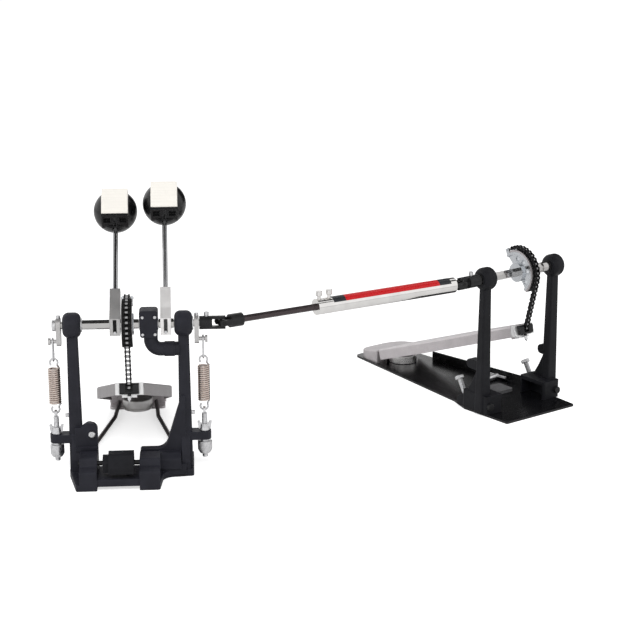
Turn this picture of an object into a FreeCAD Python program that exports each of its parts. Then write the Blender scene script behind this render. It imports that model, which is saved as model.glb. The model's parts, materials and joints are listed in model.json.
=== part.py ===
import FreeCAD, Part
import math
import os

# A double bass drum pedal: a main pedal with two beaters, a telescopic drive shaft and a slave pedal.
# X runs along the main axle, -Y is the drum side, +Y the drummer's side, +Z is up. Sizes in millimetres.

V = FreeCAD.Vector

# Driving dimensions of both pedals
AXLE_Z = 190.0
AXLE_FLATS = 10.4
JOURNAL_D = 9.0
RUN_FIT = 0.04
SEAT_GAP = 0.3
TIP_WALL = 0.4
BUSH_D = 15.0
HEAD_R = 15.5
HEAD_L = 22.0
HEAD_ROUND = 7.5
HEAD_GAP = 1.6
FLANGE_T = 1.2
FLANGE_EXTRA = 2.0
POST_ROUND = 2.5
SPUR_D = 6.4
SPUR_LEAN = 32.0
SPUR_HEAD_R = 5.8
SPUR_HEAD_L = 5.0
SPUR_L = 41.0
SPUR_HEAD_Y = 47.0
SPUR_HEAD_Z = 39.0

# Main frame
POST_X = 67.0
POST_TOP_W = 13.0
POST_LOW_W = 17.0
POST_TOP_T = 11.0
POST_LOW_T = 15.0
FOOT_FRONT_Y = -64.0
LEFT_FOOT_X = (-65.0, -40.0)
RIGHT_FOOT_X = (11.0, 35.5)
FOOT_Z = 24.0
BEAM_Z = 32.0
BASE_T = 8.0
CENTRE_X = (14.0, 37.0)
CENTRE_Z = (175.0, 208.5)
CENTRE_T = 20.0
ARM_D = 17.0
ARM_Z = 158.0
ARM_BEND = 12.0
CENTRE_BORE = 10.0
SPUR_X = 58.0
SPUR_BACK_Y = 46.0
SET_SCREW_Z = 76.0
SET_SCREW_D = 4.5
ROD_FLOOR_D = 5.5
ROD_BEND = 66.0
ROD_TAIL = 14.0
GUSSET_Z = 100.0

# Hoop clamp
SLOT_Z = (14.0, 20.5)
JAW_X = (-33.0, 4.5)
JAW_PIN = (-42.0, 28.0)
JAW_PIN_D = 6.0
CLAMP_BOLT = (-46.8, 55.5)
CLAMP_BOLT_D = 6.0

# Chain and cam
PITCH = 6.35
PLATE_R = 2.8
WAIST = 1.9
PLATE_T = 0.8
ROLLER_D = 3.3
CHAIN_PIN_D = 1.8
CHAIN_PIN_L = 7.8
CHAIN_PIN_PLAY = 0.12
INNER_PLATE_X = 1.65
OUTER_PLATE_X = 2.6
CHAIN_R = 33.6
LEAVE_ANGLE = 104.0
WRAP_LINKS = 12
RUN_LINKS = 11
PAD_T = 2.5
PAD_W = 13.0
CAM_W = 8.0
HUB_R = 13.0
HUB_W = 15.0
PAD_R = CHAIN_R - PLATE_R - SEAT_GAP
RIM_R = PAD_R - PAD_T
RIM_T = 3.2
PAD_LEAD = 1.6
PAD_END = 140.0
CAM_ANGLES = (-46.0, 143.0)
WINDOW_ANGLES = (-2.0, 34.0, 76.0, 124.0)
WINDOW_R = (15.0, 22.0)
WINDOW_W = 7.0
CHEEK_T = 2.2
CHEEK_PLAY = 0.6

# Footboard and heel
HEEL_PIN_Z = 14.0
HEEL_PIN_D = 6.0
BOARD_TOP = 7.25
BOARD_SKIN = 4.5
BOARD_DROP = 8.0
BOARD_WALL = 3.5
BOARD_ROUND = 2.5
BOARD_LENGTH = 284.0
BOARD_HEEL_W = 76.0
BOARD_WIDE_W = 99.0
BOARD_TOE_W = 34.0
BOARD_WIDE_AT = 125.0
KNUCKLE_R = 5.0
KNUCKLE_W = 38.0
HEEL_TOP_Z = 21.6
HEEL_FALL = 0.18
HEEL_ROUND = 26.0
MAIN_HEEL_BACK = 26.0
SLAVE_HEEL_BACK = 46.0
HEEL_W = 78.0
DISC_AHEAD = 17.5
DISC_D = 41.0
DISC_T = 12.0
DISC_PLAY = 1.2
HEEL_PAD_AHEAD = 25.0
PLATE_Z = 3.0
CLAMP_W = 23.5
CLAMP_L = 14.0
TOE_CHEEK_L = 7.0
ANCHOR_OUT = 11.2
ANCHOR_RISE = 0.6
TOE_ROOM = 2.3
TOE_SIDE_PLAY = 0.5

# Beaters
MAIN_BEATER_X = -15.0
AUX_BEATER_X = 46.0
MAIN_LEAN = 43.0
AUX_LEAN = 40.0
MAIN_REACH = 158.2
AUX_REACH = 163.3
HOLDER_W = 12.8
HOLDER_TOP = 46.0
ROD_D = 6.2
ROD_START = 18.0
SLIDE_DOWN = 6.0
BALL_D = 54.0
FELT_W = 33.0
FELT_H = 36.6
FELT_LIFT = 0.5
FELT_FACE = 26.5
ROD_TIP = 9.0
GROOVE_W = 8.4
GROOVE_TOP = 21.5
GROOVE_SLOPE = 1.5
FELT_BACK = 7.0
FELT_CROWN = 1.6
CHIN_T = 3.0
CHIN_END = 24.0
CHIN_BACK = 4.0
CHIN_WALL = 1.5
HOLLOW_X = (5.5, 14.0)
HOLLOW_Y = (-22.0, -10.5)

# Springs
SPRING_X = 90.5
LEVER_ARM = 20.0
LEVER_T = 5.5
LEVER_GAP = 2.2
SWIVEL_D = 5.0
SPRING_D = 12.6
WIRE_D = 2.1
COIL_LOW_Z = 91.0
COIL_TURNS = 17
COIL_PITCH = 2.66
RING_R = 4.7
RING_RISE = 7.3
LINK_WIRE = 2.2
LINK_R = 5.0
EAR_Z = (42.0, 52.5)
EAR_R = 8.0
EYE_ROD_D = 6.0
KNOB_D = 17.0

# Drive shaft
JOINT_1_X = 113.0
SHAFT_TURN = 26.59
SHAFT_L = 355.5
YOKE_D = 16.5
YOKE_GAP = 4.8
EAR_HALF = 3.6
EAR_END = 5.2
CROSS_PIN_D = 3.6
CROSS_PLAY = 0.7
CROSS_CORE = 6.8
HUB_FROM = 11.0
HEX_ROD_FLATS = 7.6
TUBE_L = 210.0
TUBE_END_GAP = 12.5
TUBE_D = 20.5
TUBE_BORE = 16.0
TUBE_SCREW_AT = (4.8, 19.4)
TUBE_END_WALL = 25.0
ROD_IN_TUBE = 90.0
GUIDE_FIT = 0.3
GUIDE_L = 40.0
COLLAR_L = 26.0

# Slave pedal, in its own frame: its axle runs along its own X through the origin
SLAVE_TURN = 32.56
SLAVE_POST_X = 62.0
SLAVE_JOINT_X = -105.7
PLATE_FRONT_Y = -52.0
PLATE_MARGIN = 3.0
RAIL_T = 2.5
RAIL_H = 12.0
RAIL_BACK = (39.5, 39.0)
RAIL_FRONT = (63.0, 56.0)
PEDESTAL_H = 25.0
PEDESTAL_WALL = 4.0
PEDESTAL_IN = 23.0
PEDESTAL_Y = (-15.0, 34.0)
LUG_REACH = {-1: 27.0, 1: 18.0}
SLAVE_SPUR_LIFT = 3.0
FLOOR_PAD = (18.0, 53.0)
FLOOR_PAD_W = 28.0
FLOOR_PAD_T = 5.0
KEY_AT = 40.6
KEY_STEM_D = 8.5
KEY_BAR_D = 5.0


def box(x0, x1, y0, y1, z0, z1):
    return Part.makeBox(x1 - x0, y1 - y0, z1 - z0, V(x0, y0, z0))


def rod(a, b, d):
    """Round bar of diameter d from a to b."""
    return Part.makeCylinder(d / 2, (b - a).Length, a, b - a)


def tube(a, b, outer, inner):
    return rod(a, b, outer).cut(rod(a, b, inner))


def fuse(first, *others):
    return first.multiFuse(list(others)).removeSplitter()


def profile(points, place):
    """Closed wire through (u, v) or (u, v, corner radius) points, put in space by place."""
    corners = []
    for i, point in enumerate(points):
        here = V(point[0], point[1], 0)
        radius = point[2] if len(point) > 2 else 0
        if not radius:
            corners.append((here, None, here))
            continue
        before = points[i - 1]
        after = points[(i + 1) % len(points)]
        a = (V(before[0], before[1], 0) - here).normalize()
        b = (V(after[0], after[1], 0) - here).normalize()
        half = a.getAngle(b) / 2
        run = radius / math.tan(half)
        middle = here + (a + b).normalize() * (radius / math.sin(half) - radius)
        corners.append((here + a * run, middle, here + b * run))
    edges = []
    for i, (start, middle, end) in enumerate(corners):
        if middle:
            edges.append(Part.Arc(place(start), place(middle), place(end)).toShape())
        following = corners[(i + 1) % len(corners)][0]
        if (following - end).Length > 1e-6:
            edges.append(Part.makeLine(place(end), place(following)))
    return Part.Wire(edges)


def slab(points, axis, start, end):
    """Outline drawn across an axis and extruded along it: (y, z) for x, (x, z) for y, (x, y) for z."""
    places = {
        "x": lambda p: V(start, p.x, p.y),
        "y": lambda p: V(p.x, start, p.y),
        "z": lambda p: V(p.x, p.y, start),
    }
    along = {"x": V(1, 0, 0), "y": V(0, 1, 0), "z": V(0, 0, 1)}[axis]
    return Part.Face(profile(points, places[axis])).extrude(along * (end - start))


def turned(points, base, direction):
    """Solid of revolution from (distance, radius) points, from base along direction."""
    face = Part.Face(profile(points, lambda p: V(p.x, 0, p.y)))
    solid = face.revolve(V(0, 0, 0), V(1, 0, 0), 360)
    solid.Placement = FreeCAD.Placement(base, FreeCAD.Rotation(V(1, 0, 0), direction))
    return solid


def hexagon(a, b, flats):
    """Hexagonal bar from a to b with a flat to the front."""
    corner = flats / math.sqrt(3)
    angles = [math.radians(60 * i) for i in range(6)]
    points = [(corner * math.sin(a), corner * math.cos(a)) for a in angles]
    bar = slab(points, "x", 0, (b - a).Length)
    bar.Placement = FreeCAD.Placement(a, FreeCAD.Rotation(V(1, 0, 0), b - a))
    return bar


def placed(shape, placement):
    moved = shape.copy()
    moved.Placement = placement.multiply(moved.Placement)
    return moved


def turn_x(shape, angle, at):
    """Copy turned about the X direction through a point."""
    moved = shape.copy()
    moved.rotate(at, V(1, 0, 0), angle)
    return moved


def group(*shapes):
    solids = []
    for shape in shapes:
        solids.extend(shape.Solids)
    return Part.makeCompound(solids)


def slave_place():
    joint_2 = V(JOINT_1_X, 0, 0) + along_shaft(SHAFT_L)
    turn = FreeCAD.Rotation(V(0, 0, 1), SLAVE_TURN)
    return FreeCAD.Placement(joint_2 - turn.multVec(V(SLAVE_JOINT_X, 0, 0)), turn)


def along_shaft(distance):
    turn = math.radians(SHAFT_TURN)
    return V(math.cos(turn), math.sin(turn), 0) * distance


def shaft_place():
    return FreeCAD.Placement(V(JOINT_1_X, 0, AXLE_Z), FreeCAD.Rotation(V(0, 0, 1), SHAFT_TURN))


def axle_point(x):
    return V(x, 0, AXLE_Z)


# Bearing posts


def post_head(x):
    """Rounded bearing housing across the axle at x, bored for its bush."""
    half = HEAD_L / 2
    points = [(0, 0), (0, HEAD_R, HEAD_ROUND), (HEAD_L, HEAD_R, HEAD_ROUND), (HEAD_L, 0)]
    return turned(points, axle_point(x - half), V(1, 0, 0))


def head_bore(x):
    return rod(axle_point(x - HEAD_L), axle_point(x + HEAD_L), BUSH_D)


def post_shaft(x, low):
    """Tapering post from height low up into the head."""
    front = [
        (x - POST_LOW_W / 2, low),
        (x + POST_LOW_W / 2, low),
        (x + POST_TOP_W / 2, AXLE_Z),
        (x - POST_TOP_W / 2, AXLE_Z),
    ]
    side = [
        (-POST_LOW_T / 2, low),
        (POST_LOW_T / 2, low),
        (POST_TOP_T / 2, AXLE_Z),
        (-POST_TOP_T / 2, AXLE_Z),
    ]
    reach = POST_LOW_T
    shaft = slab(front, "y", -reach, reach).common(slab(side, "x", x - reach, x + reach))
    upright = [e for e in shaft.Edges if abs(e.tangentAt(e.FirstParameter).z) > 0.9]
    return shaft.makeFillet(POST_ROUND, upright)


def flanged_bush(x, outward):
    """Bush pressed into a head, with a thin flange standing proud of the face on the outward side."""
    half = HEAD_L / 2
    flange_from = x + outward * half
    body = rod(axle_point(x - half), axle_point(x + half), BUSH_D)
    flange = rod(axle_point(flange_from), axle_point(flange_from + outward * FLANGE_T), BUSH_D + FLANGE_EXTRA)
    bore = rod(axle_point(x - HEAD_L), axle_point(x + HEAD_L), JOURNAL_D + 2 * RUN_FIT)
    return body.fuse(flange).cut(bore).removeSplitter()


def spring_ear(side):
    """Lug on a post's outer side that carries the spring's eye rod."""
    inner = POST_X
    outer = SPRING_X + EAR_R
    points = [(inner, -EAR_R), (outer, -EAR_R, EAR_R - 0.2), (outer, EAR_R, EAR_R - 0.2), (inner, EAR_R)]
    lug = slab([(side * p[0], *p[1:]) for p in points], "z", EAR_Z[0], EAR_Z[1])
    hole = rod(V(side * SPRING_X, 0, 0), V(side * SPRING_X, 0, AXLE_Z / 2), EYE_ROD_D)
    return lug.cut(hole)


def spur(x, y, z):
    """Anchor spur bolt leaning towards the drum on its way down, with a knurled head and a point."""
    down = V(0, -math.sin(math.radians(SPUR_LEAN)), -math.cos(math.radians(SPUR_LEAN)))
    points = [
        (0, 0),
        (0, SPUR_HEAD_R, 1.0),
        (SPUR_HEAD_L, SPUR_HEAD_R, 1.0),
        (SPUR_HEAD_L, SPUR_D / 2),
        (SPUR_L - SPUR_D, SPUR_D / 2),
        (SPUR_L, 0),
    ]
    return turned(points, V(x, y, z), down)


def main_spurs():
    return group(*[spur(side * SPUR_X, SPUR_HEAD_Y, SPUR_HEAD_Z) for side in (-1, 1)])


def main_post_left():
    """Left casting: post, bearing head, foot, clamp bracket and spring ear."""
    inner, outer = LEFT_FOOT_X[1], LEFT_FOOT_X[0]
    edge = -POST_X - POST_LOW_W / 2
    base = slab([
        (edge, SPUR_BACK_Y, 4),
        (edge, -12, 12),
        (outer, FOOT_FRONT_Y, 3),
        (inner, FOOT_FRONT_Y, 2),
        (inner, 8, 6),
        (-SPUR_X + 9, 14, 6),
        (-SPUR_X + 9, SPUR_BACK_Y, 4),
    ], "z", 0, BASE_T)
    foot = slab([
        (FOOT_FRONT_Y, BASE_T / 2),
        (FOOT_FRONT_Y, FOOT_Z, 3),
        (JAW_PIN[0] - 8, FOOT_Z + 2, 4),
        (JAW_PIN[0] - 4, JAW_PIN[1] + 8, 4),
        (-20, JAW_PIN[1] + 8, 4),
        (-12, 20),
        (-12, BASE_T / 2),
    ], "x", outer + 4, inner)
    bracket = slab([
        (-POST_X, BASE_T / 2),
        (inner, BASE_T / 2),
        (inner, 67, 8),
        (inner - 11, 70, 6),
        (-POST_X + 6, 63, 3),
        (-POST_X, 63),
    ], "y", -14, -6)
    ridge = box(-POST_X, inner, -17, -13, 33, 39)
    web = slab([(-20, BASE_T / 2), (-20, 24, 6), (0, 70), (7, 70), (SPUR_BACK_Y - 2, 20, 6),
                (SPUR_BACK_Y - 2, BASE_T / 2)], "x", -POST_X - 5, -POST_X + 5)
    spur_lug = box(-SPUR_X - 8, -SPUR_X + 8, 10, SPUR_BACK_Y - 1, BASE_T / 2, 16)
    post = fuse(post_shaft(-POST_X, BASE_T / 2), post_head(-POST_X), spring_ear(-1))
    body = fuse(base, foot, bracket, ridge, web, spur_lug, post)
    pin = rod(V(outer - 20, *JAW_PIN), V(inner + 20, *JAW_PIN), JAW_PIN_D)
    x, z = CLAMP_BOLT
    bolt = rod(V(x, -40, z), V(x, 10, z), CLAMP_BOLT_D + 2 * RUN_FIT)
    for hole in (head_bore(-POST_X), pin, bolt, main_spurs(), radius_rod(-1), set_screw(-1)):
        body = body.cut(hole)
    return body


def main_post_right():
    """Right casting: post, bearing head, curved gusset, beam, foot and spring ear."""
    inner, outer = RIGHT_FOOT_X
    edge = POST_X + POST_LOW_W / 2 + 1
    base = slab([
        (inner, FOOT_FRONT_Y, 2),
        (outer, FOOT_FRONT_Y, 3),
        (outer + 4, -24, 14),
        (edge, -20, 3),
        (edge, SPUR_BACK_Y, 4),
        (SPUR_X - 9, SPUR_BACK_Y, 4),
        (SPUR_X - 9, 10, 6),
        (inner, 6, 4),
    ], "z", 0, BASE_T)
    foot = slab([
        (FOOT_FRONT_Y, BASE_T / 2),
        (FOOT_FRONT_Y, FOOT_Z, 3),
        (JAW_PIN[0] - 8, FOOT_Z + 2, 4),
        (JAW_PIN[0] - 4, JAW_PIN[1] + 6, 4),
        (-20, JAW_PIN[1] + 6, 4),
        (-12, 20),
        (-12, BASE_T / 2),
    ], "x", inner, outer)
    beam = slab([
        (inner, BASE_T / 2),
        (inner, BEAM_Z, 3),
        (42, BEAM_Z, 14),
        (POST_X - 4, GUSSET_Z),
        (POST_X, GUSSET_Z),
        (POST_X, BASE_T / 2),
    ], "y", -9, 3)
    sill = box(inner + 2, POST_X, -24, 0, BASE_T / 2, 17)
    bar = slab([(-27, 12), (-27, 25, 2), (-18, BEAM_Z - 2, 3), (-7, BEAM_Z - 2), (-7, 12)], "x",
               outer - 2, POST_X - 6)
    web = slab([(-20, BASE_T / 2), (-20, 18, 6), (0, 70), (7, 70), (SPUR_BACK_Y - 2, 20, 6),
                (SPUR_BACK_Y - 2, BASE_T / 2)], "x", POST_X - 5, POST_X + 5)
    spur_lug = box(SPUR_X - 8, SPUR_X + 8, 10, SPUR_BACK_Y - 1, BASE_T / 2, 16)
    post = fuse(post_shaft(POST_X, BASE_T / 2), post_head(POST_X), spring_ear(1))
    body = fuse(base, foot, beam, sill, bar, web, spur_lug, post)
    pin = rod(V(inner - 20, *JAW_PIN), V(inner + 12, *JAW_PIN), JAW_PIN_D)
    for hole in (head_bore(POST_X), pin, main_spurs(), radius_rod(1), set_screw(1), centre_arm()):
        body = body.cut(hole)
    return body


def set_screw(side):
    """Small screw in a post's outer side that locks the spring's ear."""
    inner = side * (POST_X + 3)
    outer = side * (POST_X + POST_LOW_W / 2 + 3.5)
    return rod(V(inner, 0, SET_SCREW_Z), V(outer, 0, SET_SCREW_Z), SET_SCREW_D)


def cross_bar():
    """Bar between the two feet, with the fixed lip of the hoop clamp along its front."""
    inner, outer = LEFT_FOOT_X[1], RIGHT_FOOT_X[0]
    side = [
        (FOOT_FRONT_Y + 2, 5),
        (FOOT_FRONT_Y + 2, SLOT_Z[0], 2),
        (-34, SLOT_Z[0]),
        (-34, 12),
        (-8, 12, 2),
        (-8, 5),
    ]
    return slab(side, "x", inner, outer)


def clamp_jaw():
    """Swinging jaw of the hoop clamp: a hub on its pin and a lip that presses the hoop on the bar."""
    y, z = JAW_PIN
    left, right = JAW_X
    hub_r = 9.0
    lip = slab([
        (FOOT_FRONT_Y + 1, SLOT_Z[1]),
        (FOOT_FRONT_Y + 1, SLOT_Z[1] + 7, 3),
        (y - 10, z + 14, 6),
        (y + 2, z + 15.5, 4),
        (y + hub_r, z + 8, 4),
        (y + hub_r, z - 6, 3),
        (y + 2, SLOT_Z[1]),
    ], "x", left + 7, right)
    heel = slab([
        (y - 14, SLOT_Z[1]),
        (y - 14, z + 6, 4),
        (y - 2, z + 11, 4),
        (y + hub_r, z + 8, 4),
        (y + hub_r, z - 6, 3),
        (y + 2, SLOT_Z[1]),
    ], "x", left, left + 8)
    hole = rod(V(left - 5, y, z), V(right + 5, y, z), JAW_PIN_D + 2 * RUN_FIT)
    return fuse(lip, heel).cut(hole)


def clamp_bolt():
    """Key bolt of the hoop clamp, through the bracket, with a round head to the front."""
    x, z = CLAMP_BOLT
    head = turned([(0, 0), (0, 4.2, 1.5), (4, 4.2), (4, 0)], V(x, -18.3, z), V(0, 1, 0))
    shank = rod(V(x, -14.3, z), V(x, 2, z), CLAMP_BOLT_D)
    drive = rod(V(x, -18.4, z), V(x, -16.8, z), 3.2)
    return fuse(head, shank).cut(drive)


def main_pins():
    """Pivot pin of the clamp jaw and hinge pin of the main footboard."""
    y, z = JAW_PIN
    jaw = rod(V(LEFT_FOOT_X[0] + 2, y, z), V(RIGHT_FOOT_X[0] + 10, y, z), JAW_PIN_D)
    return group(jaw, heel_pin())


def centre_arm():
    """Elbow arm from the centre block down and across to the right post."""
    x = (CENTRE_X[0] + CENTRE_X[1]) / 2 + 2
    bend = ARM_BEND
    stem = rod(V(x, 0, CENTRE_Z[0] + 4), V(x, 0, ARM_Z + bend), ARM_D)
    circle = Part.Wire(Part.makeCircle(ARM_D / 2, V(x, 0, ARM_Z + bend), V(0, 0, 1)))
    elbow = Part.Face(circle).revolve(V(x + bend, 0, ARM_Z + bend), V(0, -1, 0), 90)
    post_face = POST_X - POST_TOP_W / 2 - 1.5
    arm = rod(V(x + bend, 0, ARM_Z), V(post_face + 3, 0, ARM_Z), ARM_D)
    sleeve = rod(V(post_face - 15, 0, ARM_Z), V(post_face - 3, 0, ARM_Z), ARM_D + 1.6)
    return fuse(stem, elbow, arm, sleeve)


def centre_block():
    """Bearing block between the two axles, on its elbow arm."""
    x0, x1 = CENTRE_X
    z0, z1 = CENTRE_Z
    half = CENTRE_T / 2
    front = [(x0 + 1, z0, 3), (x1 - 1, z0, 3), (x1, z1, 4), (x0, z1, 4)]
    body = slab(front, "y", -half, half)
    bores = [rod(axle_point(x0 - 1), axle_point(x0 + CENTRE_BORE), BUSH_D),
             rod(axle_point(x1 + 1), axle_point(x1 - CENTRE_BORE), BUSH_D)]
    body = fuse(body, centre_arm()).cut(bores[0]).cut(bores[1])
    for screw in cover_screws():
        body = body.cut(screw)
    return body


def cover_screws():
    x0, x1 = CENTRE_X
    z0, z1 = CENTRE_Z
    inset = 4.0
    front = -CENTRE_T / 2
    screws = []
    for x in (x0 + inset, x1 - inset):
        for z in (z0 + inset, z1 - 2 * inset):
            head = turned([(0, 0), (0, 1.9, 0.6), (1.2, 1.9), (1.2, 1.2), (6, 1.2), (6, 0)],
                          V(x, front - 1.2, z), V(0, 1, 0))
            screws.append(head)
    return screws


def frame_screws():
    return group(*cover_screws(), set_screw(-1), set_screw(1))


def centre_bush(x0, x1):
    return tube(axle_point(x0), axle_point(x1), BUSH_D, JOURNAL_D + 2 * RUN_FIT)


def main_bearings():
    x0, x1 = CENTRE_X
    return group(flanged_bush(-POST_X, 1), flanged_bush(POST_X, 1),
                 centre_bush(x0, x0 + CENTRE_BORE), centre_bush(x1 - CENTRE_BORE, x1))


def radius_rod(side):
    """Round steel rod that ties a post to the heel plate along the floor."""
    z = ROD_FLOOR_D / 2 + 1.0
    start = V(side * 66.0, 12.0, z)
    bend = V(side * 29.0, heel_y() - ROD_BEND, z)
    end = V(side * 24.5, heel_y() + ROD_TAIL, z)
    ball = Part.makeSphere(ROD_FLOOR_D / 2, bend)
    return fuse(rod(start, bend, ROD_FLOOR_D), rod(bend, end, ROD_FLOOR_D), ball)


# Axles, cams and chains


def axle(points):
    """Bar along the axle line: (end x, kind) steps from the first x, kind hex or a diameter."""
    pieces = []
    start = points[0]
    for end, kind in points[1:]:
        a, b = axle_point(start), axle_point(end)
        pieces.append(hexagon(a, b, AXLE_FLATS) if kind == "hex" else rod(a, b, kind))
        start = end
    return fuse(*pieces)


def main_axle():
    inner = -POST_X + HEAD_L / 2 + HEAD_GAP
    return axle([-lever_outer(), (inner, JOURNAL_D), (CENTRE_X[0] - 0.5, "hex"),
                 (CENTRE_X[0] + CENTRE_BORE - 0.5, JOURNAL_D)])


def aux_axle():
    inner = POST_X - HEAD_L / 2 - 0.5
    return axle([CENTRE_X[1] - CENTRE_BORE + 0.5, (CENTRE_X[1] + 0.5, JOURNAL_D), (inner, "hex"),
                 (JOINT_1_X - HUB_FROM - 1, JOURNAL_D)])


def slave_axle():
    head = SLAVE_POST_X - HEAD_L / 2
    return axle([SLAVE_JOINT_X + HUB_FROM + 1, (-head + HEAD_GAP, JOURNAL_D), (head - 12, "hex"),
                 (head - HEAD_GAP, 14.0), (SLAVE_POST_X + HEAD_L / 2 + 1, JOURNAL_D)])


def on_circle(radius, angle):
    """Point around the axle: angle 0 at the top, growing to the drum side."""
    a = math.radians(angle)
    return V(0, -radius * math.sin(a), AXLE_Z + radius * math.cos(a))


def link_step():
    return 2 * math.degrees(math.asin(PITCH / 2 / CHAIN_R))


def wrap_pivots():
    first = LEAVE_ANGLE - WRAP_LINKS * link_step()
    return [on_circle(CHAIN_R, first + i * link_step()) for i in range(WRAP_LINKS + 1)]


def run_pivots():
    a = math.radians(LEAVE_ANGLE)
    down = V(0, -math.cos(a), -math.sin(a))
    start = on_circle(CHAIN_R, LEAVE_ANGLE)
    return [start + down * (PITCH * i) for i in range(RUN_LINKS + 1)]


def link_plate(x):
    """Waisted chain plate in the plane across X, from the origin one pitch along +Y."""
    reach = math.asin(WAIST / PLATE_R)
    side_y = PLATE_R * math.cos(reach)
    side_z = PLATE_R * math.sin(reach)
    near = [V(x, side_y * 0.55, s * PLATE_R * 0.83) for s in (1, -1)]
    far = [V(x, PITCH - side_y * 0.55, s * PLATE_R * 0.83) for s in (1, -1)]
    middle = [V(x, PITCH / 2, s * side_z) for s in (1, -1)]
    edges = [
        Part.Arc(near[0], V(x, -PLATE_R, 0), near[1]).toShape(),
        Part.Arc(near[1], middle[1], far[1]).toShape(),
        Part.Arc(far[1], V(x, PITCH + PLATE_R, 0), far[0]).toShape(),
        Part.Arc(far[0], middle[0], near[0]).toShape(),
    ]
    return Part.Face(Part.Wire(edges)).extrude(V(PLATE_T, 0, 0))


def inner_link():
    ends = [V(0, 0, 0), V(0, PITCH, 0)]
    half = V(INNER_PLATE_X + PLATE_T, 0, 0)
    rollers = [rod(e - half, e + half, ROLLER_D) for e in ends]
    body = fuse(link_plate(INNER_PLATE_X), link_plate(-INNER_PLATE_X - PLATE_T), *rollers)
    for e in ends:
        body = body.cut(rod(e - half * 2, e + half * 2, CHAIN_PIN_D + CHAIN_PIN_PLAY))
    return body


def outer_link():
    half = V(CHAIN_PIN_L / 2, 0, 0)
    pins = [rod(e - half, e + half, CHAIN_PIN_D) for e in (V(0, 0, 0), V(0, PITCH, 0))]
    return fuse(link_plate(OUTER_PLATE_X), link_plate(-OUTER_PLATE_X - PLATE_T), *pins)


def chain(pivots, first):
    """Links between successive pivots, alternately inner and outer from link number first."""
    kinds = [inner_link(), outer_link()]
    links = []
    for i in range(len(pivots) - 1):
        turn = FreeCAD.Rotation(V(0, 1, 0), pivots[i + 1] - pivots[i])
        links.append(placed(kinds[(first + i) % 2], FreeCAD.Placement(pivots[i], turn)))
    return group(*links)


def chain_wrap():
    return chain(wrap_pivots(), 0)


def chain_run():
    return chain(run_pivots(), WRAP_LINKS)


def sector(inner, outer, angles, width):
    """Part of a ring around the axle between two angles."""
    stops = (angles[0], sum(angles) / 2, angles[1])
    side = V(-width / 2, 0, 0)
    low = [on_circle(inner, a) + side for a in stops]
    high = [on_circle(outer, a) + side for a in stops]
    edges = [
        Part.Arc(*high).toShape(),
        Part.makeLine(high[2], low[2]),
        Part.Arc(*reversed(low)).toShape(),
        Part.makeLine(low[0], high[0]),
    ]
    return Part.Face(Part.Wire(edges)).extrude(V(width, 0, 0))


def cam():
    """Cast sector cam: clamping hub, web with windows, wide rim band and the chain's anchor cheeks."""
    hub = rod(axle_point(-HUB_W / 2), axle_point(HUB_W / 2), 2 * HUB_R)
    web = sector(HUB_R - 3, RIM_R - 1, CAM_ANGLES, CAM_W)
    band = sector(RIM_R - RIM_T, RIM_R, CAM_ANGLES, PAD_W)
    for angle in WINDOW_ANGLES:
        web = web.cut(cam_window(angle))
    cheeks = []
    reach = CHAIN_PIN_L / 2 + CHEEK_PLAY
    for x in (-reach - CHEEK_T, reach):
        cheek = box(x, x + CHEEK_T, 2, 8, AXLE_Z + RIM_R - 3, AXLE_Z + CHAIN_R + 1.5)
        cheeks.append(turn_x(cheek, anchor_angle(), axle_point(0)))
    body = fuse(hub, web, band, *cheeks)
    bore = hexagon(axle_point(-HUB_W), axle_point(HUB_W), AXLE_FLATS + 2 * RUN_FIT)
    return body.cut(bore).cut(cam_screw()).cut(anchor_bolt())


def cam_window(angle):
    """Rounded window through the cam's web, along a radius."""
    half = WINDOW_W / 2
    low, high = [AXLE_Z + r for r in WINDOW_R]
    corner = half - 0.4
    sides = [(-half, low, corner), (half, low, corner), (half, high, corner), (-half, high, corner)]
    return turn_x(slab(sides, "x", -CAM_W, CAM_W), angle, axle_point(0))


def anchor_angle():
    return LEAVE_ANGLE - WRAP_LINKS * link_step()


def cam_screw():
    """Key bolt that clamps the cam on its axle, from the rear of the hub."""
    return turned([(0, 0), (0, 2.4), (5, 2.4), (5, 3.2, 0.8), (9, 3.2, 0.8), (9, 0)],
                  axle_point(0) + V(0, AXLE_FLATS / 2 + 4, 0), V(0, 1, 0))


def anchor_bolt():
    """Bolt across the cheeks just behind the chain's first roller."""
    at = AXLE_Z + CHAIN_R - 0.5
    bolt = rod(V(-PAD_W / 2 - 1, 5.2, at), V(PAD_W / 2 + 1, 5.2, at), 3.0)
    return turn_x(bolt, anchor_angle(), axle_point(0))


def cam_pad():
    return sector(RIM_R, PAD_R, (anchor_angle() - PAD_LEAD, PAD_END), PAD_W)


# Footboard and heel, built flat with the hinge pin at the origin and the toe along -Y


def board_reach():
    """Length and slope, in radians, of the line from the hinge pin to the chain's last roller."""
    reach = math.hypot(BOARD_LENGTH + ANCHOR_OUT, ANCHOR_RISE)
    return reach, math.asin((run_pivots()[-1].z - HEEL_PIN_Z) / reach)


def heel_y():
    """Where the hinge pin has to be for the toe to lie under the chain's end."""
    reach, slope = board_reach()
    return run_pivots()[-1].y + reach * math.cos(slope)


def board_place():
    slope = board_reach()[1] - math.atan2(ANCHOR_RISE, BOARD_LENGTH + ANCHOR_OUT)
    turn = FreeCAD.Rotation(V(1, 0, 0), -math.degrees(slope))
    return FreeCAD.Placement(V(0, heel_y(), HEEL_PIN_Z), turn)


def board_outline(inset):
    """Plan of the footboard: widening from the heel, then narrowing to the toe."""
    heel = BOARD_HEEL_W / 2 - inset
    wide = BOARD_WIDE_W / 2 - inset
    toe = BOARD_TOE_W / 2 - inset
    back = -KNUCKLE_R - 3 + 4 * inset
    front = -BOARD_LENGTH + inset
    right = [(heel, back, 3), (wide, -BOARD_WIDE_AT, 60), (toe, front, 2)]
    left = [(-x, y, r) for x, y, r in reversed(right)]
    return right + left


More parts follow.
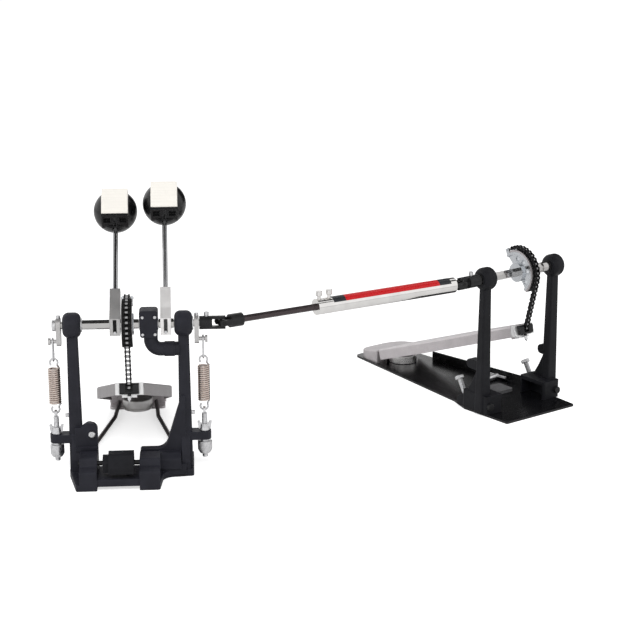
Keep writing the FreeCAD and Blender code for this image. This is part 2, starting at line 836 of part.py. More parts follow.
def footboard():
    """Cast footboard: skin with side walls, ribs beneath, a hinge knuckle, a toe tab and cheeks beside it."""
    body = slab(board_outline(0), "z", -BOARD_DROP, BOARD_TOP)
    top = [e for e in body.Edges if min(v.Z for v in e.Vertexes) > BOARD_TOP - 0.1]
    body = body.makeFillet(BOARD_ROUND, top)
    body = body.cut(slab(board_outline(BOARD_WALL), "z", -BOARD_DROP - 1, BOARD_TOP - BOARD_SKIN))
    rib = box(-2.5, 2.5, -BOARD_LENGTH + 2, -70, -3, BOARD_TOP - BOARD_SKIN + 1)
    ribs = [box(-35, 35, -y - 2, -y + 2, -3, BOARD_TOP - BOARD_SKIN + 1) for y in (70, 125, 180)]
    knuckle = rod(V(-KNUCKLE_W / 2, 0, 0), V(KNUCKLE_W / 2, 0, 0), 2 * KNUCKLE_R)
    strap = box(-KNUCKLE_W / 2, KNUCKLE_W / 2, -KNUCKLE_R - 3, 0, 0.5, KNUCKLE_R - 0.1)
    tab = box(-9, 9, -BOARD_LENGTH - 4, -BOARD_LENGTH + 12, -BOARD_DROP - 3, -BOARD_DROP + 1)
    inner, outer = CLAMP_W / 2, BOARD_TOE_W / 2
    toe, root = -BOARD_LENGTH - TOE_CHEEK_L, -BOARD_LENGTH + 4
    cheeks = [box(*sides, toe, root, -BOARD_DROP, BOARD_TOP) for sides in ((-outer, -inner), (inner, outer))]
    bore = rod(V(-50, 0, 0), V(50, 0, 0), HEEL_PIN_D + 2 * RUN_FIT)
    return placed(fuse(body, rib, *ribs, knuckle, strap, tab, *cheeks).cut(bore), board_place())


def toe_anchor():
    """Where the chain's last roller meets the toe, in the footboard's flat frame."""
    return board_place().inverse().multVec(run_pivots()[-1])


def toe_clamp():
    """Block on the footboard's toe that grips the chain's end, with its pointed screw below."""
    end = toe_anchor()
    half = CLAMP_W / 2
    low = -BOARD_DROP
    front = -BOARD_LENGTH - CLAMP_L
    side = [(-BOARD_LENGTH, low + 1.2), (-BOARD_LENGTH, 6, 2), (front, 6, 3), (front + 3, low + 1.2, 3)]
    body = slab(side, "x", -half, half)
    slot_half = CHAIN_PIN_L / 2 + TOE_SIDE_PLAY
    floor = end.z - PLATE_R - TOE_ROOM
    slot = box(-slot_half, slot_half, front - 1, end.y + PLATE_R + 1.5, floor, 30)
    screw = turned([(0, 0), (0, 2.2), (9, 2.2), (13, 0)], V(0, end.y + 4, floor - 0.1), V(0, 0, -1))
    return placed(group(body.cut(slot).cut(screw), screw), board_place())


def heel_pin():
    half = HEEL_W / 2 - 2
    return rod(V(-half, heel_y(), HEEL_PIN_Z), V(half, heel_y(), HEEL_PIN_Z), HEEL_PIN_D)


def heel_block(length):
    """Heel casting that falls to a rounded back, with lugs for the hinge pin and a pocket for the knuckle."""
    half = HEEL_W / 2
    y = heel_y()
    front = y - KNUCKLE_R + 1
    back = y + length
    plan = [(-half, front, 2), (half, front, 2), (half - 1, back, HEEL_ROUND), (-half + 1, back, HEEL_ROUND)]
    low = HEEL_TOP_Z - HEEL_FALL * (back - front)
    side = [(front, PLATE_Z), (front, HEEL_TOP_Z), (back, low), (back, PLATE_Z)]
    block = slab(plan, "z", PLATE_Z, HEEL_TOP_Z).common(slab(side, "x", -half, half)).Solids[0]
    top = max(block.Faces, key=lambda face: face.CenterOfMass.z)
    block = block.makeFillet(2.0, top.Edges)
    room = KNUCKLE_R + 0.6
    reach = KNUCKLE_W / 2 + 0.5
    pocket = rod(V(-reach, y, HEEL_PIN_Z), V(reach, y, HEEL_PIN_Z), 2 * room)
    mouth = box(-reach, reach, front - 1, y + 1, PLATE_Z - 1, HEEL_TOP_Z + 1)
    return block.cut(pocket).cut(mouth).cut(heel_pin())


def heel_disc():
    """Turned riser disc under the footboard, cut flat behind to clear the hinge knuckle."""
    r = DISC_D / 2
    disc = turned([(0, 0), (0, r, 1), (DISC_T, r, 1.5), (DISC_T, 0)], disc_foot(), V(0, 0, 1))
    flat = heel_y() - KNUCKLE_R - DISC_PLAY
    return disc.cut(box(-r - 1, r + 1, flat, flat + DISC_D, PLATE_Z - 1, PLATE_Z + DISC_T + 1))


def disc_foot():
    return V(0, heel_y() - DISC_AHEAD, PLATE_Z)


def main_heel_plate():
    """Heel casting of the main pedal with its floor pad, disc seat and the seats of the radius rods."""
    half = HEEL_W / 2
    front = heel_y() - HEEL_PAD_AHEAD
    back = heel_y() + MAIN_HEEL_BACK
    pad = slab([
        (-half + 1, front, 6),
        (half - 1, front, 6),
        (half - 2, back - 2, HEEL_ROUND - 1),
        (-half + 2, back - 2, HEEL_ROUND - 1),
    ], "z", 0, PLATE_Z + 0.2)
    seat = rod(disc_foot() - V(0, 0, PLATE_Z), disc_foot() + V(0, 0, 0.2), DISC_D - 2)
    body = fuse(pad, seat, heel_block(MAIN_HEEL_BACK))
    return body.cut(radius_rod(-1)).cut(radius_rod(1)).cut(heel_disc())


# Beaters, built upright at x = 0 about the axle and then leaned back


def lean(shape, angle, x):
    moved = shape.copy()
    moved.rotate(V(0, 0, AXLE_Z), V(1, 0, 0), -angle)
    moved.translate(V(x, 0, 0))
    return moved


def lean_direction(angle):
    a = math.radians(angle)
    return V(0, math.sin(a), math.cos(a))


def beater_holder(x, angle):
    """Clamp block on the axle: a foot with an upright slotted face and a socket that leans with the rod."""
    half = HOLDER_W / 2
    a = math.radians(angle)
    up = lean_direction(angle)
    across = V(0, -math.cos(a), math.sin(a))
    top = up * HOLDER_TOP
    front = top + across * 6.4
    rear = top - across * 6.4
    knee = up * 17 + across * 8.6
    side = [
        (-9.5, AXLE_Z - 12, 1.5),
        (-9.5, AXLE_Z + 9),
        (knee.y, AXLE_Z + knee.z),
        (front.y, AXLE_Z + front.z, 1.0),
        (rear.y, AXLE_Z + rear.z, 1.0),
        (10.5, AXLE_Z - 1, 3),
        (10.5, AXLE_Z - 12, 1.5),
    ]
    body = slab(side, "x", x - half, x + half)
    socket = rod(axle_point(x) + up * (ROD_START - SLIDE_DOWN - 1), axle_point(x) + up * (HOLDER_TOP + 1),
                 ROD_D + 2 * RUN_FIT)
    bore = hexagon(axle_point(x - half - 1), axle_point(x + half + 1), AXLE_FLATS + 2 * RUN_FIT)
    slot = box(x - 2.2, x + 2.2, -10, -7, AXLE_Z - 9, AXLE_Z + 8)
    return body.cut(socket).cut(bore).cut(slot).cut(holder_bolt(x))


def holder_bolt(x):
    """Key bolt in the holder's slot."""
    return turned([(0, 0), (0, 2.1, 0.6), (4.5, 2.1), (4.5, 1.2), (4.6, 1.2), (4.6, 0)],
                  V(x, -10.6, AXLE_Z - 8.5), V(0, 1, 0))


def beater_rod(x, angle, reach):
    tip = BALL_D / 2 - ROD_TIP
    shaft = turned([(ROD_START, 0), (ROD_START, ROD_D / 2, 0.6), (reach + tip, ROD_D / 2), (reach + tip, 0)],
                   axle_point(0), V(0, 0, 1))
    return lean(shaft, angle, x)


def beater_head(x, angle, reach):
    """Ball head: a pocket for the felt and, below it, a flat chin with two hollows and the rod's groove."""
    centre = V(0, 0, AXLE_Z + reach)
    low = centre.z - BALL_D
    half = FELT_W / 2
    floor = centre.z + FELT_LIFT - FELT_H / 2
    pocket = box(-half, half, -BALL_D, -FELT_BACK, floor, centre.z + BALL_D)
    lip, end = (FELT_CROWN - FELT_FACE, floor - CHIN_T), (-CHIN_BACK, centre.z - CHIN_END)
    ledge = [(lip[0], floor), lip, end, (0, end[1]), (0, floor)]
    body = Part.makeSphere(BALL_D / 2, centre).fuse(slab(ledge, "x", -half, half))
    under = [(-BALL_D, lip[1]), lip, end, (end[0], low), (-BALL_D, low)]
    cuts = [pocket, slab(under, "x", -half, half)]
    for side in (-1, 1):
        inner, outer = sorted(side * edge for edge in HOLLOW_X)
        cuts.append(box(inner, outer, *HOLLOW_Y, low, floor - CHIN_WALL))
    wide, point = GROOVE_W / 2, centre.z - GROOVE_TOP
    foot = point - GROOVE_SLOPE * wide
    groove = [(-wide, low), (wide, low), (wide, foot), (0, point), (-wide, foot)]
    cuts.append(slab(groove, "y", -BALL_D, -0.5))
    cuts.append(rod(V(0, 0, AXLE_Z), centre + V(0, 0, BALL_D / 2 - ROD_TIP), ROD_D))
    for cut in cuts:
        body = body.cut(cut)
    return lean(body, angle, x)


def beater_felt(x, angle, reach):
    """Felt block in the head's pocket, with a slightly crowned striking face."""
    z = AXLE_Z + reach + FELT_LIFT
    half = FELT_W / 2
    low, high = z - FELT_H / 2, z + FELT_H / 2
    edge = FELT_FACE - FELT_CROWN
    face = Part.Arc(V(0, -edge, low), V(0, -FELT_FACE, z), V(0, -edge, high)).toShape()
    back = [V(0, -edge, high), V(0, -FELT_BACK, high), V(0, -FELT_BACK, low), V(0, -edge, low)]
    lines = [Part.makeLine(back[i], back[i + 1]) for i in range(3)]
    block = Part.Face(Part.Wire([face] + lines)).extrude(V(FELT_W, 0, 0))
    block.translate(V(-half, 0, 0))
    return lean(block, angle, x)


# Springs and their levers


def lever_pin_z():
    return AXLE_Z - LEVER_ARM


def lever_outer():
    """Distance of a lever's outer face from the middle of the main pedal."""
    return POST_X + HEAD_L / 2 + LEVER_GAP + LEVER_T


def spring_lever(side):
    """Flat lever on an axle end with the swivel pin that the spring's link hangs on."""
    outer = side * lever_outer()
    inner = outer - side * LEVER_T
    x0, x1 = min(inner, outer), max(inner, outer)
    low = lever_pin_z()
    outline = [(-8.5, AXLE_Z + 9, 8), (8.5, AXLE_Z + 9, 8), (8.5, AXLE_Z - 7, 4), (5.5, low - 5.5, 5),
               (-5.5, low - 5.5, 5), (-8.5, AXLE_Z - 7, 4)]
    plate = slab(outline, "x", x0, x1)
    bore = rod(axle_point(x0 - 1), axle_point(x1 + 1), JOURNAL_D)
    pin = rod(V(inner, 0, low), V(side * (SPRING_X + 4.5), 0, low), SWIVEL_D)
    cap = rod(V(side * (SPRING_X + 2.6), 0, low), V(side * (SPRING_X + 5.5), 0, low), SWIVEL_D + 4)
    return fuse(plate.cut(bore), pin, cap).cut(lever_screw(side))


def lever_screw(side):
    """Key screw that locks a lever on its axle, from above."""
    x = side * (lever_outer() - LEVER_T / 2)
    return turned([(0, 0), (0, 1.8), (4, 1.8), (4, 2.5, 0.5), (7.6, 2.5, 0.5), (7.6, 0)],
                  V(x, 0, AXLE_Z + JOURNAL_D / 2 + TIP_WALL), V(0, 0, 1))


def axle_cap():
    """End screw on the main axle's outer end."""
    return turned([(0, 0), (0, 7, 1.2), (5, 7, 1.2), (5, 0)], axle_point(-lever_outer()), V(-1, 0, 0))


def main_key_bolts():
    return group(holder_bolt(MAIN_BEATER_X), lever_screw(-1), axle_cap(), cam_screw(), anchor_bolt())


def aux_key_bolts():
    return group(holder_bolt(AUX_BEATER_X), lever_screw(1), yoke_screw(JOINT_1_X - HUB_FROM - 7))


def yoke_screw(x):
    """Key screw standing on top of a yoke's hub."""
    return turned([(0, 0), (0, 2.2), (4, 2.2), (4, 3, 0.6), (8.6, 3, 0.6), (8.6, 0)],
                  V(x, 0, AXLE_Z + JOURNAL_D / 2 + TIP_WALL), V(0, 0, 1))


def coil_radius():
    return (SPRING_D - WIRE_D) / 2


def ring_z(top):
    high = COIL_LOW_Z + COIL_TURNS * COIL_PITCH
    return high + RING_RISE if top else COIL_LOW_Z - RING_RISE


def spring_nodes():
    """Points and directions a quarter turn apart: lower hook, coil, upper hook, about the line x = y = 0."""
    r = coil_radius()
    nodes = []
    for quarter in range(4 * COIL_TURNS + 1):
        a = quarter * math.pi / 2
        point = V(r * math.cos(a), r * math.sin(a), COIL_LOW_Z + COIL_PITCH * quarter / 4)
        nodes.append((point, V(-r * math.sin(a), r * math.cos(a), COIL_PITCH / 2 / math.pi).normalize()))
    hook = []
    centre = V(0, 0, ring_z(True))
    for degrees in (-20, 45, 90, 135, 180, 225):
        a = math.radians(degrees)
        point = centre + V(RING_R * math.cos(a), 0, RING_R * math.sin(a))
        hook.append((point, V(-math.sin(a), 0, math.cos(a))))
    middle = V(0, 0, COIL_LOW_Z + COIL_TURNS * COIL_PITCH / 2)
    flip = FreeCAD.Placement(middle, FreeCAD.Rotation(V(1, 0, 0), 180))
    lower = []
    for point, direction in reversed(hook):
        lower.append((flip.multVec(point - middle), flip.Rotation.multVec(direction) * -1))
    return lower + nodes + hook


def biarc(start, end):
    """Two arcs that leave start and reach end along their directions, meeting with one tangent."""
    p0, t0 = start
    p1, t1 = end
    chord = p1 - p0
    both = t0 + t1
    a = 2 * (1 - t0.dot(t1))
    b = 2 * chord.dot(both)
    c = -chord.dot(chord)
    reach = -c / b if abs(a) < 1e-9 else (-b + math.sqrt(b * b - 4 * a * c)) / (2 * a)
    joint = (p0 + t0 * reach + p1 - t1 * reach) * 0.5
    first = Part.Arc(p0, arc_middle(p0, t0, joint), joint)
    second = Part.Arc(joint, arc_middle(p1, t1 * -1, joint), p1)
    return [first.toShape(), second.toShape()]


def arc_middle(point, direction, end):
    """Middle of the arc that leaves point along direction and passes through end."""
    chord = end - point
    normal = (chord - direction * chord.dot(direction)).normalize()
    radius = chord.dot(chord) / (2 * chord.dot(normal))
    half = math.asin(min(1, chord.Length / (2 * radius)))
    centre = point + normal * radius
    return centre + (direction * math.sin(half) - normal * math.cos(half)) * radius


def spring_path():
    nodes = spring_nodes()
    edges = []
    for i in range(len(nodes) - 1):
        first, second = biarc(nodes[i], nodes[i + 1])
        edges.append(first)
        edges.append(second)
    return edges


def spring(side):
    """Extension spring: one unbroken wire with a hook at each end."""
    path = Part.Wire(spring_path())
    start, direction = spring_nodes()[0]
    section = Part.Wire(Part.makeCircle(WIRE_D / 2, start, direction))
    wire = path.makePipeShell([section], True, False)
    wire.translate(V(side * SPRING_X, 0, 0))
    return wire


def spring_gap():
    """Least clear distance between two stretches of the spring's wire, on points along it."""
    points = []
    for edge in spring_path():
        points.extend(edge.discretize(8)[:-1])
    along = [0.0]
    for a, b in zip(points, points[1:]):
        along.append(along[-1] + (b - a).Length)
    least = SPRING_D
    for i, a in enumerate(points):
        for j in range(i + 1, len(points)):
            if along[j] - along[i] > 3 * WIRE_D:
                least = min(least, (points[j] - a).Length - WIRE_D)
    return least


def spring_link(side):
    """Long wire loop between the swivel pin and the spring's upper hook, in the plane across the axle."""
    x = side * SPRING_X
    wire = LINK_WIRE / 2
    top = lever_pin_z() + SWIVEL_D / 2 + SEAT_GAP + wire - LINK_R
    low = ring_z(True) + RING_R - WIRE_D / 2 - SEAT_GAP - wire + LINK_R
    section = Part.Face(Part.Wire(Part.makeCircle(wire, V(x, LINK_R, top), V(0, 0, 1))))
    upper = section.revolve(V(x, 0, top), V(1, 0, 0), 180)
    section = Part.Face(Part.Wire(Part.makeCircle(wire, V(x, -LINK_R, low), V(0, 0, 1))))
    lower = section.revolve(V(x, 0, low), V(1, 0, 0), 180)
    sides = [rod(V(x, y, low), V(x, y, top), LINK_WIRE) for y in (-LINK_R, LINK_R)]
    return fuse(upper, lower, *sides)


def eye_z():
    return ring_z(False) - RING_R


def eye_rod(side):
    """Threaded rod through a post's ear, with a flat eye that holds the spring's lower hook."""
    x = side * SPRING_X
    eye = eye_z() - 0.5
    stem = rod(V(x, 0, 18), V(x, 0, eye - 3.5), EYE_ROD_D)
    flat = rod(V(x - 1.5, 0, eye), V(x + 1.5, 0, eye), 9.5)
    hole = rod(V(x - 5, 0, eye), V(x + 5, 0, eye), 4.6)
    return fuse(stem, flat).cut(hole)


def wing_nut(side):
    x = side * SPRING_X
    low = EAR_Z[1]
    hub = turned([(0, 0), (0, 6.2, 0.8), (9, 4.8, 1), (9, 0)], V(x, 0, low), V(0, 0, 1))
    wings = []
    for turn in (-1, 1):
        points = [(x + turn * 3.8, low + 1), (x + turn * 7.4, low + 2.5, 1), (x + turn * 8.8, low + 12, 1.2),
                  (x + turn * 6.2, low + 12, 1), (x + turn * 3.8, low + 7)]
        wings.append(slab(points, "y", -1.6, 1.6))
    return fuse(hub, *wings).cut(rod(V(x, 0, 0), V(x, 0, AXLE_Z / 2), EYE_ROD_D))


def tension_knob(side):
    """Adjusting knob under the ear, with a tapered lower end."""
    x = side * SPRING_X
    top = EAR_Z[0]
    r = KNOB_D / 2
    points = [(0, 0), (0, 5.0), (3, 5.0), (3, r, 0.8), (15, r, 1), (19, r - 2.4, 1), (19, 0)]
    return turned(points, V(x, 0, top), V(0, 0, -1)).cut(rod(V(x, 0, 0), V(x, 0, AXLE_Z / 2), EYE_ROD_D))


def both_sides(make):
    return group(make(-1), make(1))


# Drive shaft, built along +X from the first joint's centre


def yoke(ears_up, hub_end):
    """Fork of a universal joint about the origin, ears towards it, with a solid hub along +X."""
    body = rod(V(-EAR_END, 0, 0), V(hub_end, 0, 0), YOKE_D)
    gap = box(-YOKE_D, HUB_FROM, -YOKE_D, YOKE_D, -YOKE_GAP, YOKE_GAP)
    trims = []
    for side in (-1, 1):
        low, high = sorted((side * EAR_HALF, side * YOKE_D))
        trims.append(box(-YOKE_D, HUB_FROM, low, high, -YOKE_D, YOKE_D))
    tip = rod(V(0, 0, -YOKE_D), V(0, 0, YOKE_D), 2 * EAR_END)
    shape = body.cut(gap).cut(trims[0]).cut(trims[1])
    reach = box(0, hub_end, -YOKE_D, YOKE_D, -YOKE_D, YOKE_D)
    shape = shape.common(reach.fuse(tip))
    shape = shape.cut(rod(V(0, 0, -YOKE_D), V(0, 0, YOKE_D), CROSS_PIN_D + CROSS_PLAY))
    if not ears_up:
        shape.rotate(V(0, 0, 0), V(1, 0, 0), 90)
    return shape.removeSplitter()


def cross():
    """Cross of a universal joint about the origin: one pin upright, one along Y."""
    half = CROSS_CORE / 2
    core = box(-half, half, -half, half, -half, half)
    reach = YOKE_D / 2 - 0.2
    pins = [rod(axis * -reach, axis * reach, CROSS_PIN_D) for axis in (V(0, 0, 1), V(0, 1, 0))]
    return fuse(core, *pins)


def first_yoke():
    """Yoke on the auxiliary axle's end, ears above and below."""
    hub_end = JOINT_1_X - lever_outer() - 0.6
    shape = yoke(True, hub_end)
    shape.rotate(V(0, 0, 0), V(0, 0, 1), 180)
    shape.translate(axle_point(JOINT_1_X))
    bore = rod(axle_point(JOINT_1_X - 60), axle_point(JOINT_1_X - HUB_FROM - 1), JOURNAL_D)
    return shape.cut(bore).cut(yoke_screw(JOINT_1_X - HUB_FROM - 7))


def tube_to():
    return SHAFT_L - TUBE_END_GAP


def tube_from():
    return tube_to() - TUBE_L


def hex_rod():
    """Hexagonal rod of the telescopic shaft with its yoke."""
    bar = hexagon(V(20, 0, 0), V(tube_from() + ROD_IN_TUBE, 0, 0), HEX_ROD_FLATS)
    return placed(fuse(yoke(False, 28), bar), shaft_place())


def shaft_tube():
    """Outer tube of the telescopic shaft: open towards the rod, a yoke at the far end."""
    start = tube_from()
    outer = rod(V(start, 0, 0), V(tube_to(), 0, 0), TUBE_D)
    bore = rod(V(start - 1, 0, 0), V(tube_to() - TUBE_END_WALL, 0, 0), TUBE_BORE)
    end = yoke(False, 16)
    end.rotate(V(0, 0, 0), V(0, 0, 1), 180)
    end.translate(V(SHAFT_L, 0, 0))
    collar = rod(V(start, 0, 0), V(start + COLLAR_L, 0, 0), TUBE_D - 1)
    guide = hexagon(V(start - 1, 0, 0), V(start + GUIDE_L, 0, 0), HEX_ROD_FLATS + GUIDE_FIT)
    body = fuse(outer.cut(bore), end, collar).cut(guide)
    for screw in tube_screws():
        body = body.cut(screw)
    return placed(body, shaft_place())


def tube_screws():
    """Key screws that lock the tube on the rod."""
    screws = []
    for x in TUBE_SCREW_AT:
        screws.append(turned([(0, 0), (0, 2.2), (9.0, 2.2), (9.0, 4.2, 1), (15.5, 4.2, 1), (15.5, 0)],
                             V(tube_from() + x, 0, HEX_ROD_FLATS / 2 + 1), V(0, 0, 1)))
    return screws


def shaft_screws():
    return placed(group(*tube_screws()), shaft_place())


def cross_1():
    """Cross of the first joint, its level pin square to the shaft."""
    return placed(cross(), shaft_place())


def cross_2():
    shape = cross()
    shape.translate(V(SHAFT_L, 0, 0))
    return placed(shape, shaft_place())


def slave_yoke():
    """Yoke on the slave axle's end, in the slave pedal's frame."""
    hub_end = -SLAVE_JOINT_X - SLAVE_POST_X - HEAD_L / 2 - FLANGE_T - 1.5
    shape = yoke(True, hub_end)
    shape.translate(axle_point(SLAVE_JOINT_X))
    x = SLAVE_JOINT_X + HUB_FROM + 6
    bore = rod(axle_point(SLAVE_JOINT_X + HUB_FROM + 1), axle_point(0), JOURNAL_D)
    return group(shape.cut(bore).cut(yoke_screw(x)), yoke_screw(x))


# Slave pedal frame, in its own frame


def base_plate():
    """Steel floor plate, narrower at the heel, with a raised edge along its far side."""
    end = heel_y() + SLAVE_HEEL_BACK + PLATE_MARGIN
    near = [(-38, end, 8), (-58, 62, 6), (-68, 30, 6), (-64, PLATE_FRONT_Y, 2)]
    far = [(61, PLATE_FRONT_Y, 2), (66, 40, 10), (38, end, 8)]
    plate = slab(near + far, "z", 0, PLATE_Z)
    back, front = rail_ends()
    run = front - back
    rail = box(0, run.Length, 0, RAIL_T, PLATE_Z - 1, PLATE_Z + RAIL_H)
    rail.Placement = FreeCAD.Placement(back, FreeCAD.Rotation(V(1, 0, 0), run))
    half = FLOOR_PAD_W / 2
    corners = [(-half, -half), (half, -half), (half, half), (-half, half)]
    square = [(FLOOR_PAD[0] + x, FLOOR_PAD[1] + y, 3) for x, y in corners]
    return fuse(plate, rail, slab(square, "z", PLATE_Z - 1, PLATE_Z + FLOOR_PAD_T))


def rail_ends():
    """Rear and front ends of the raised edge's inner face, on the floor."""
    return V(RAIL_BACK[0], heel_y() - RAIL_BACK[1], 0), V(*RAIL_FRONT, 0)


def drum_key():
    """T-handled drum key lying on the plate with its bar against the raised edge."""
    bar = rod(V(-17, 0, 0), V(17, 0, 0), KEY_BAR_D)
    stem = rod(V(0, 0, 0), V(0, -24, 0), KEY_STEM_D)
    square = box(-2.2, 2.2, -26, -12, -2.2, 2.2)
    key = fuse(bar, stem).cut(square)
    back, front = rail_ends()
    run = (front - back).normalize()
    inward = V(run.y, -run.x, 0)
    at = front - run * KEY_AT + inward * (KEY_STEM_D / 2) + V(0, 0, PLATE_Z + KEY_STEM_D / 2)
    return placed(key, FreeCAD.Placement(at, FreeCAD.Rotation(V(1, 0, 0), run)))


def slave_post(side):
    """Slave post: bearing head, tapering shaft, rear gusset with a lug, and a pedestal on the plate."""
    x = side * SLAVE_POST_X
    gusset = slab([(-6, PLATE_Z), (-6, 56), (5, 66), (16, 44, 10), (27, 26, 6), (46, 14, 4), (46, PLATE_Z)],
                  "x", x - 5, x + 5)
    reach = LUG_REACH[side]
    lug = slab([(4, 61), (reach, 62, 5.5), (reach, 74, 5.5), (4, 75)], "x", x - 6, x + 6)
    low, high = sorted((x + side * 6, x - side * PEDESTAL_IN))
    front, back = PEDESTAL_Y
    wall = PEDESTAL_WALL
    plan = [(low, front, 3), (high, front, 3), (high, back, 3), (low, back, 3)]
    pedestal = slab(plan, "z", PLATE_Z, PLATE_Z + PEDESTAL_H)
    roof = PLATE_Z + PEDESTAL_H - wall - 1
    inner = sorted((x + side * (6 - wall), x - side * (PEDESTAL_IN + 1)))
    hollow = box(*inner, front + wall, back - wall, PLATE_Z - 1, roof)
    body = fuse(pedestal.cut(hollow), gusset, lug, post_shaft(x, PLATE_Z), post_head(x))
    return body.cut(head_bore(x)).cut(slave_spur(side)).cut(pedestal_bolt(side))


def slave_spur(side):
    return spur(side * SLAVE_POST_X, SPUR_HEAD_Y + 2, SPUR_HEAD_Z + SLAVE_SPUR_LIFT)


def pedestal_bolt(side):
    """Bolt in the front of a pedestal."""
    return turned([(0, 0), (0, 5, 1), (4, 5), (4, 3), (12, 3), (12, 0)],
                  V(side * SLAVE_POST_X, PEDESTAL_Y[0] - 4, 14), V(0, 1, 0))


def slave_fasteners():
    """Anchor spurs and pedestal bolts."""
    return group(*[make(side) for make in (slave_spur, pedestal_bolt) for side in (-1, 1)])


def slave_bearings():
    return group(flanged_bush(-SLAVE_POST_X, -1), flanged_bush(SLAVE_POST_X, -1))


def main_nodes():
    """Every node of the main pedal, in the working frame under the middle of its axle."""
    beaters = {"main": (MAIN_BEATER_X, MAIN_LEAN, MAIN_REACH), "aux": (AUX_BEATER_X, AUX_LEAN, AUX_REACH)}
    nodes = {
        "main_post_left": main_post_left(),
        "main_post_right": main_post_right(),
        "main_cross_bar": cross_bar(),
        "main_bearings": main_bearings(),
        "centre_block": centre_block(),
        "frame_fasteners": group(frame_screws(), main_spurs()),
        "main_pins": main_pins(),
        "clamp_jaw": clamp_jaw(),
        "clamp_bolt": clamp_bolt(),
        "radius_rod_left": radius_rod(-1),
        "radius_rod_right": radius_rod(1),
        "main_heel_plate": group(main_heel_plate(), heel_disc()),
        "tension_eye_rods": both_sides(eye_rod),
        "tension_nuts": group(both_sides(wing_nut), both_sides(tension_knob)),
        "main_axle": main_axle(),
        "main_cam": cam(),
        "main_cam_pad": cam_pad(),
        "main_chain_wrap": chain_wrap(),
        "main_chain_run": chain_run(),
        "main_footboard": footboard(),
        "main_toe_clamp": toe_clamp(),
        "main_key_bolts": main_key_bolts(),
        "aux_axle": aux_axle(),
        "aux_key_bolts": aux_key_bolts(),
        "first_yoke": first_yoke(),
        "first_cross": cross_1(),
        "shaft_hex_rod": hex_rod(),
        "shaft_tube": group(shaft_tube(), shaft_screws()),
        "second_cross": cross_2(),
    }
    for name, side in (("main", -1), ("aux", 1)):
        x, angle, reach = beaters[name]
        nodes[name + "_beater_holder"] = beater_holder(x, angle)
        nodes[name + "_beater_rod"] = beater_rod(x, angle, reach)
        nodes[name + "_beater_head"] = beater_head(x, angle, reach)
        nodes[name + "_beater_felt"] = beater_felt(x, angle, reach)
        nodes[name + "_spring_lever"] = spring_lever(side)
        nodes[name + "_spring_link"] = spring_link(side)
        nodes[name + "_spring"] = spring(side)
    return nodes


def slave_nodes():
    """Every node of the slave pedal, in its own frame."""
    return {
        "slave_base_plate": base_plate(),
        "slave_post_near": slave_post(-1),
        "slave_post_far": slave_post(1),
        "slave_bearings": slave_bearings(),
        "slave_fasteners": group(slave_fasteners(), heel_pin()),
        "slave_heel_block": group(heel_block(SLAVE_HEEL_BACK), heel_disc()),
        "drum_key": drum_key(),
        "slave_axle": slave_axle(),
        "slave_cam": group(cam(), cam_screw(), anchor_bolt()),
        "slave_cam_pad": cam_pad(),
        "slave_chain_wrap": chain_wrap(),
        "slave_chain_run": chain_run(),
        "slave_footboard": footboard(),
        "slave_toe_clamp": toe_clamp(),
        "second_yoke": slave_yoke(),
    }


def all_nodes():
    nodes = main_nodes()
    place = slave_place()
    for name, shape in slave_nodes().items():
        nodes[name] = placed(shape, place)
    return nodes


def footprint_centre(nodes):
    """Shift that puts the middle of the whole footprint on the origin."""
    bounds = FreeCAD.BoundBox()
    for shape in nodes.values():
        bounds.add(shape.optimalBoundingBox(False, False))
    return V(-bounds.Center.x, -bounds.Center.y, -bounds.ZMin)


def main():
    os.makedirs("parts", exist_ok=True)
    nodes = all_nodes()
    shift = footprint_centre(nodes)
    print("shift", round(shift.x, 3), round(shift.y, 3), round(shift.z, 3))
    for name, shape in nodes.items():
        shape.translate(shift)
        shape.exportStep(os.path.join("parts", name + ".step"))
    print("nodes", len(nodes))
    print("least gap along a spring's own wire, mm:", round(spring_gap(), 3))


if __name__ == "__main__":
    main()
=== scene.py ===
"""Finishes of a double bass drum pedal, and its soft, wound, threaded and printed pieces."""
import json
import math

import bpy
import numpy as np
from bpy.props import FloatProperty, FloatVectorProperty, IntProperty, PointerProperty
from mathutils import Matrix, Vector


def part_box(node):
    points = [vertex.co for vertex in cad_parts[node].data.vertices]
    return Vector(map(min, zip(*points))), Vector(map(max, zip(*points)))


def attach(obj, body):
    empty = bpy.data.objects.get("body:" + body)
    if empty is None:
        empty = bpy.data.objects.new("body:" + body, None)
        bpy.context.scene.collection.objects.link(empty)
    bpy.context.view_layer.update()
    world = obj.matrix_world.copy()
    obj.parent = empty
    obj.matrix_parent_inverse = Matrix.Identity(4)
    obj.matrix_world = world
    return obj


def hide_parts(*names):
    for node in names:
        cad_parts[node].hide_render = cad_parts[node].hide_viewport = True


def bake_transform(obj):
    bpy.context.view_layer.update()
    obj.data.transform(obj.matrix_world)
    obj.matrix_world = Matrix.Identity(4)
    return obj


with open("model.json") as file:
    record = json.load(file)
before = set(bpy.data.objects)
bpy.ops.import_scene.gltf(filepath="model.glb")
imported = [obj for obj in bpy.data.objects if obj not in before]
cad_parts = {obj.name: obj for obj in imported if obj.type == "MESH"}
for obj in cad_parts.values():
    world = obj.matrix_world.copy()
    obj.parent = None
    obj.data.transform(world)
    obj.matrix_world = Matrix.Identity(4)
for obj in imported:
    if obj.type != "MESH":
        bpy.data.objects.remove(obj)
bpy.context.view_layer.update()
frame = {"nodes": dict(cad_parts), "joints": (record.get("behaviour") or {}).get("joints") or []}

bl_info = {
    "name": "Double Bass Drum Pedal",
    "version": (1, 0, 0),
    "blender": (4, 5, 0),
    "location": "View3D > Sidebar > Pedal",
    "description": "Dresses the pedal's parts and sets it on a white studio floor",
    "category": "Object",
}

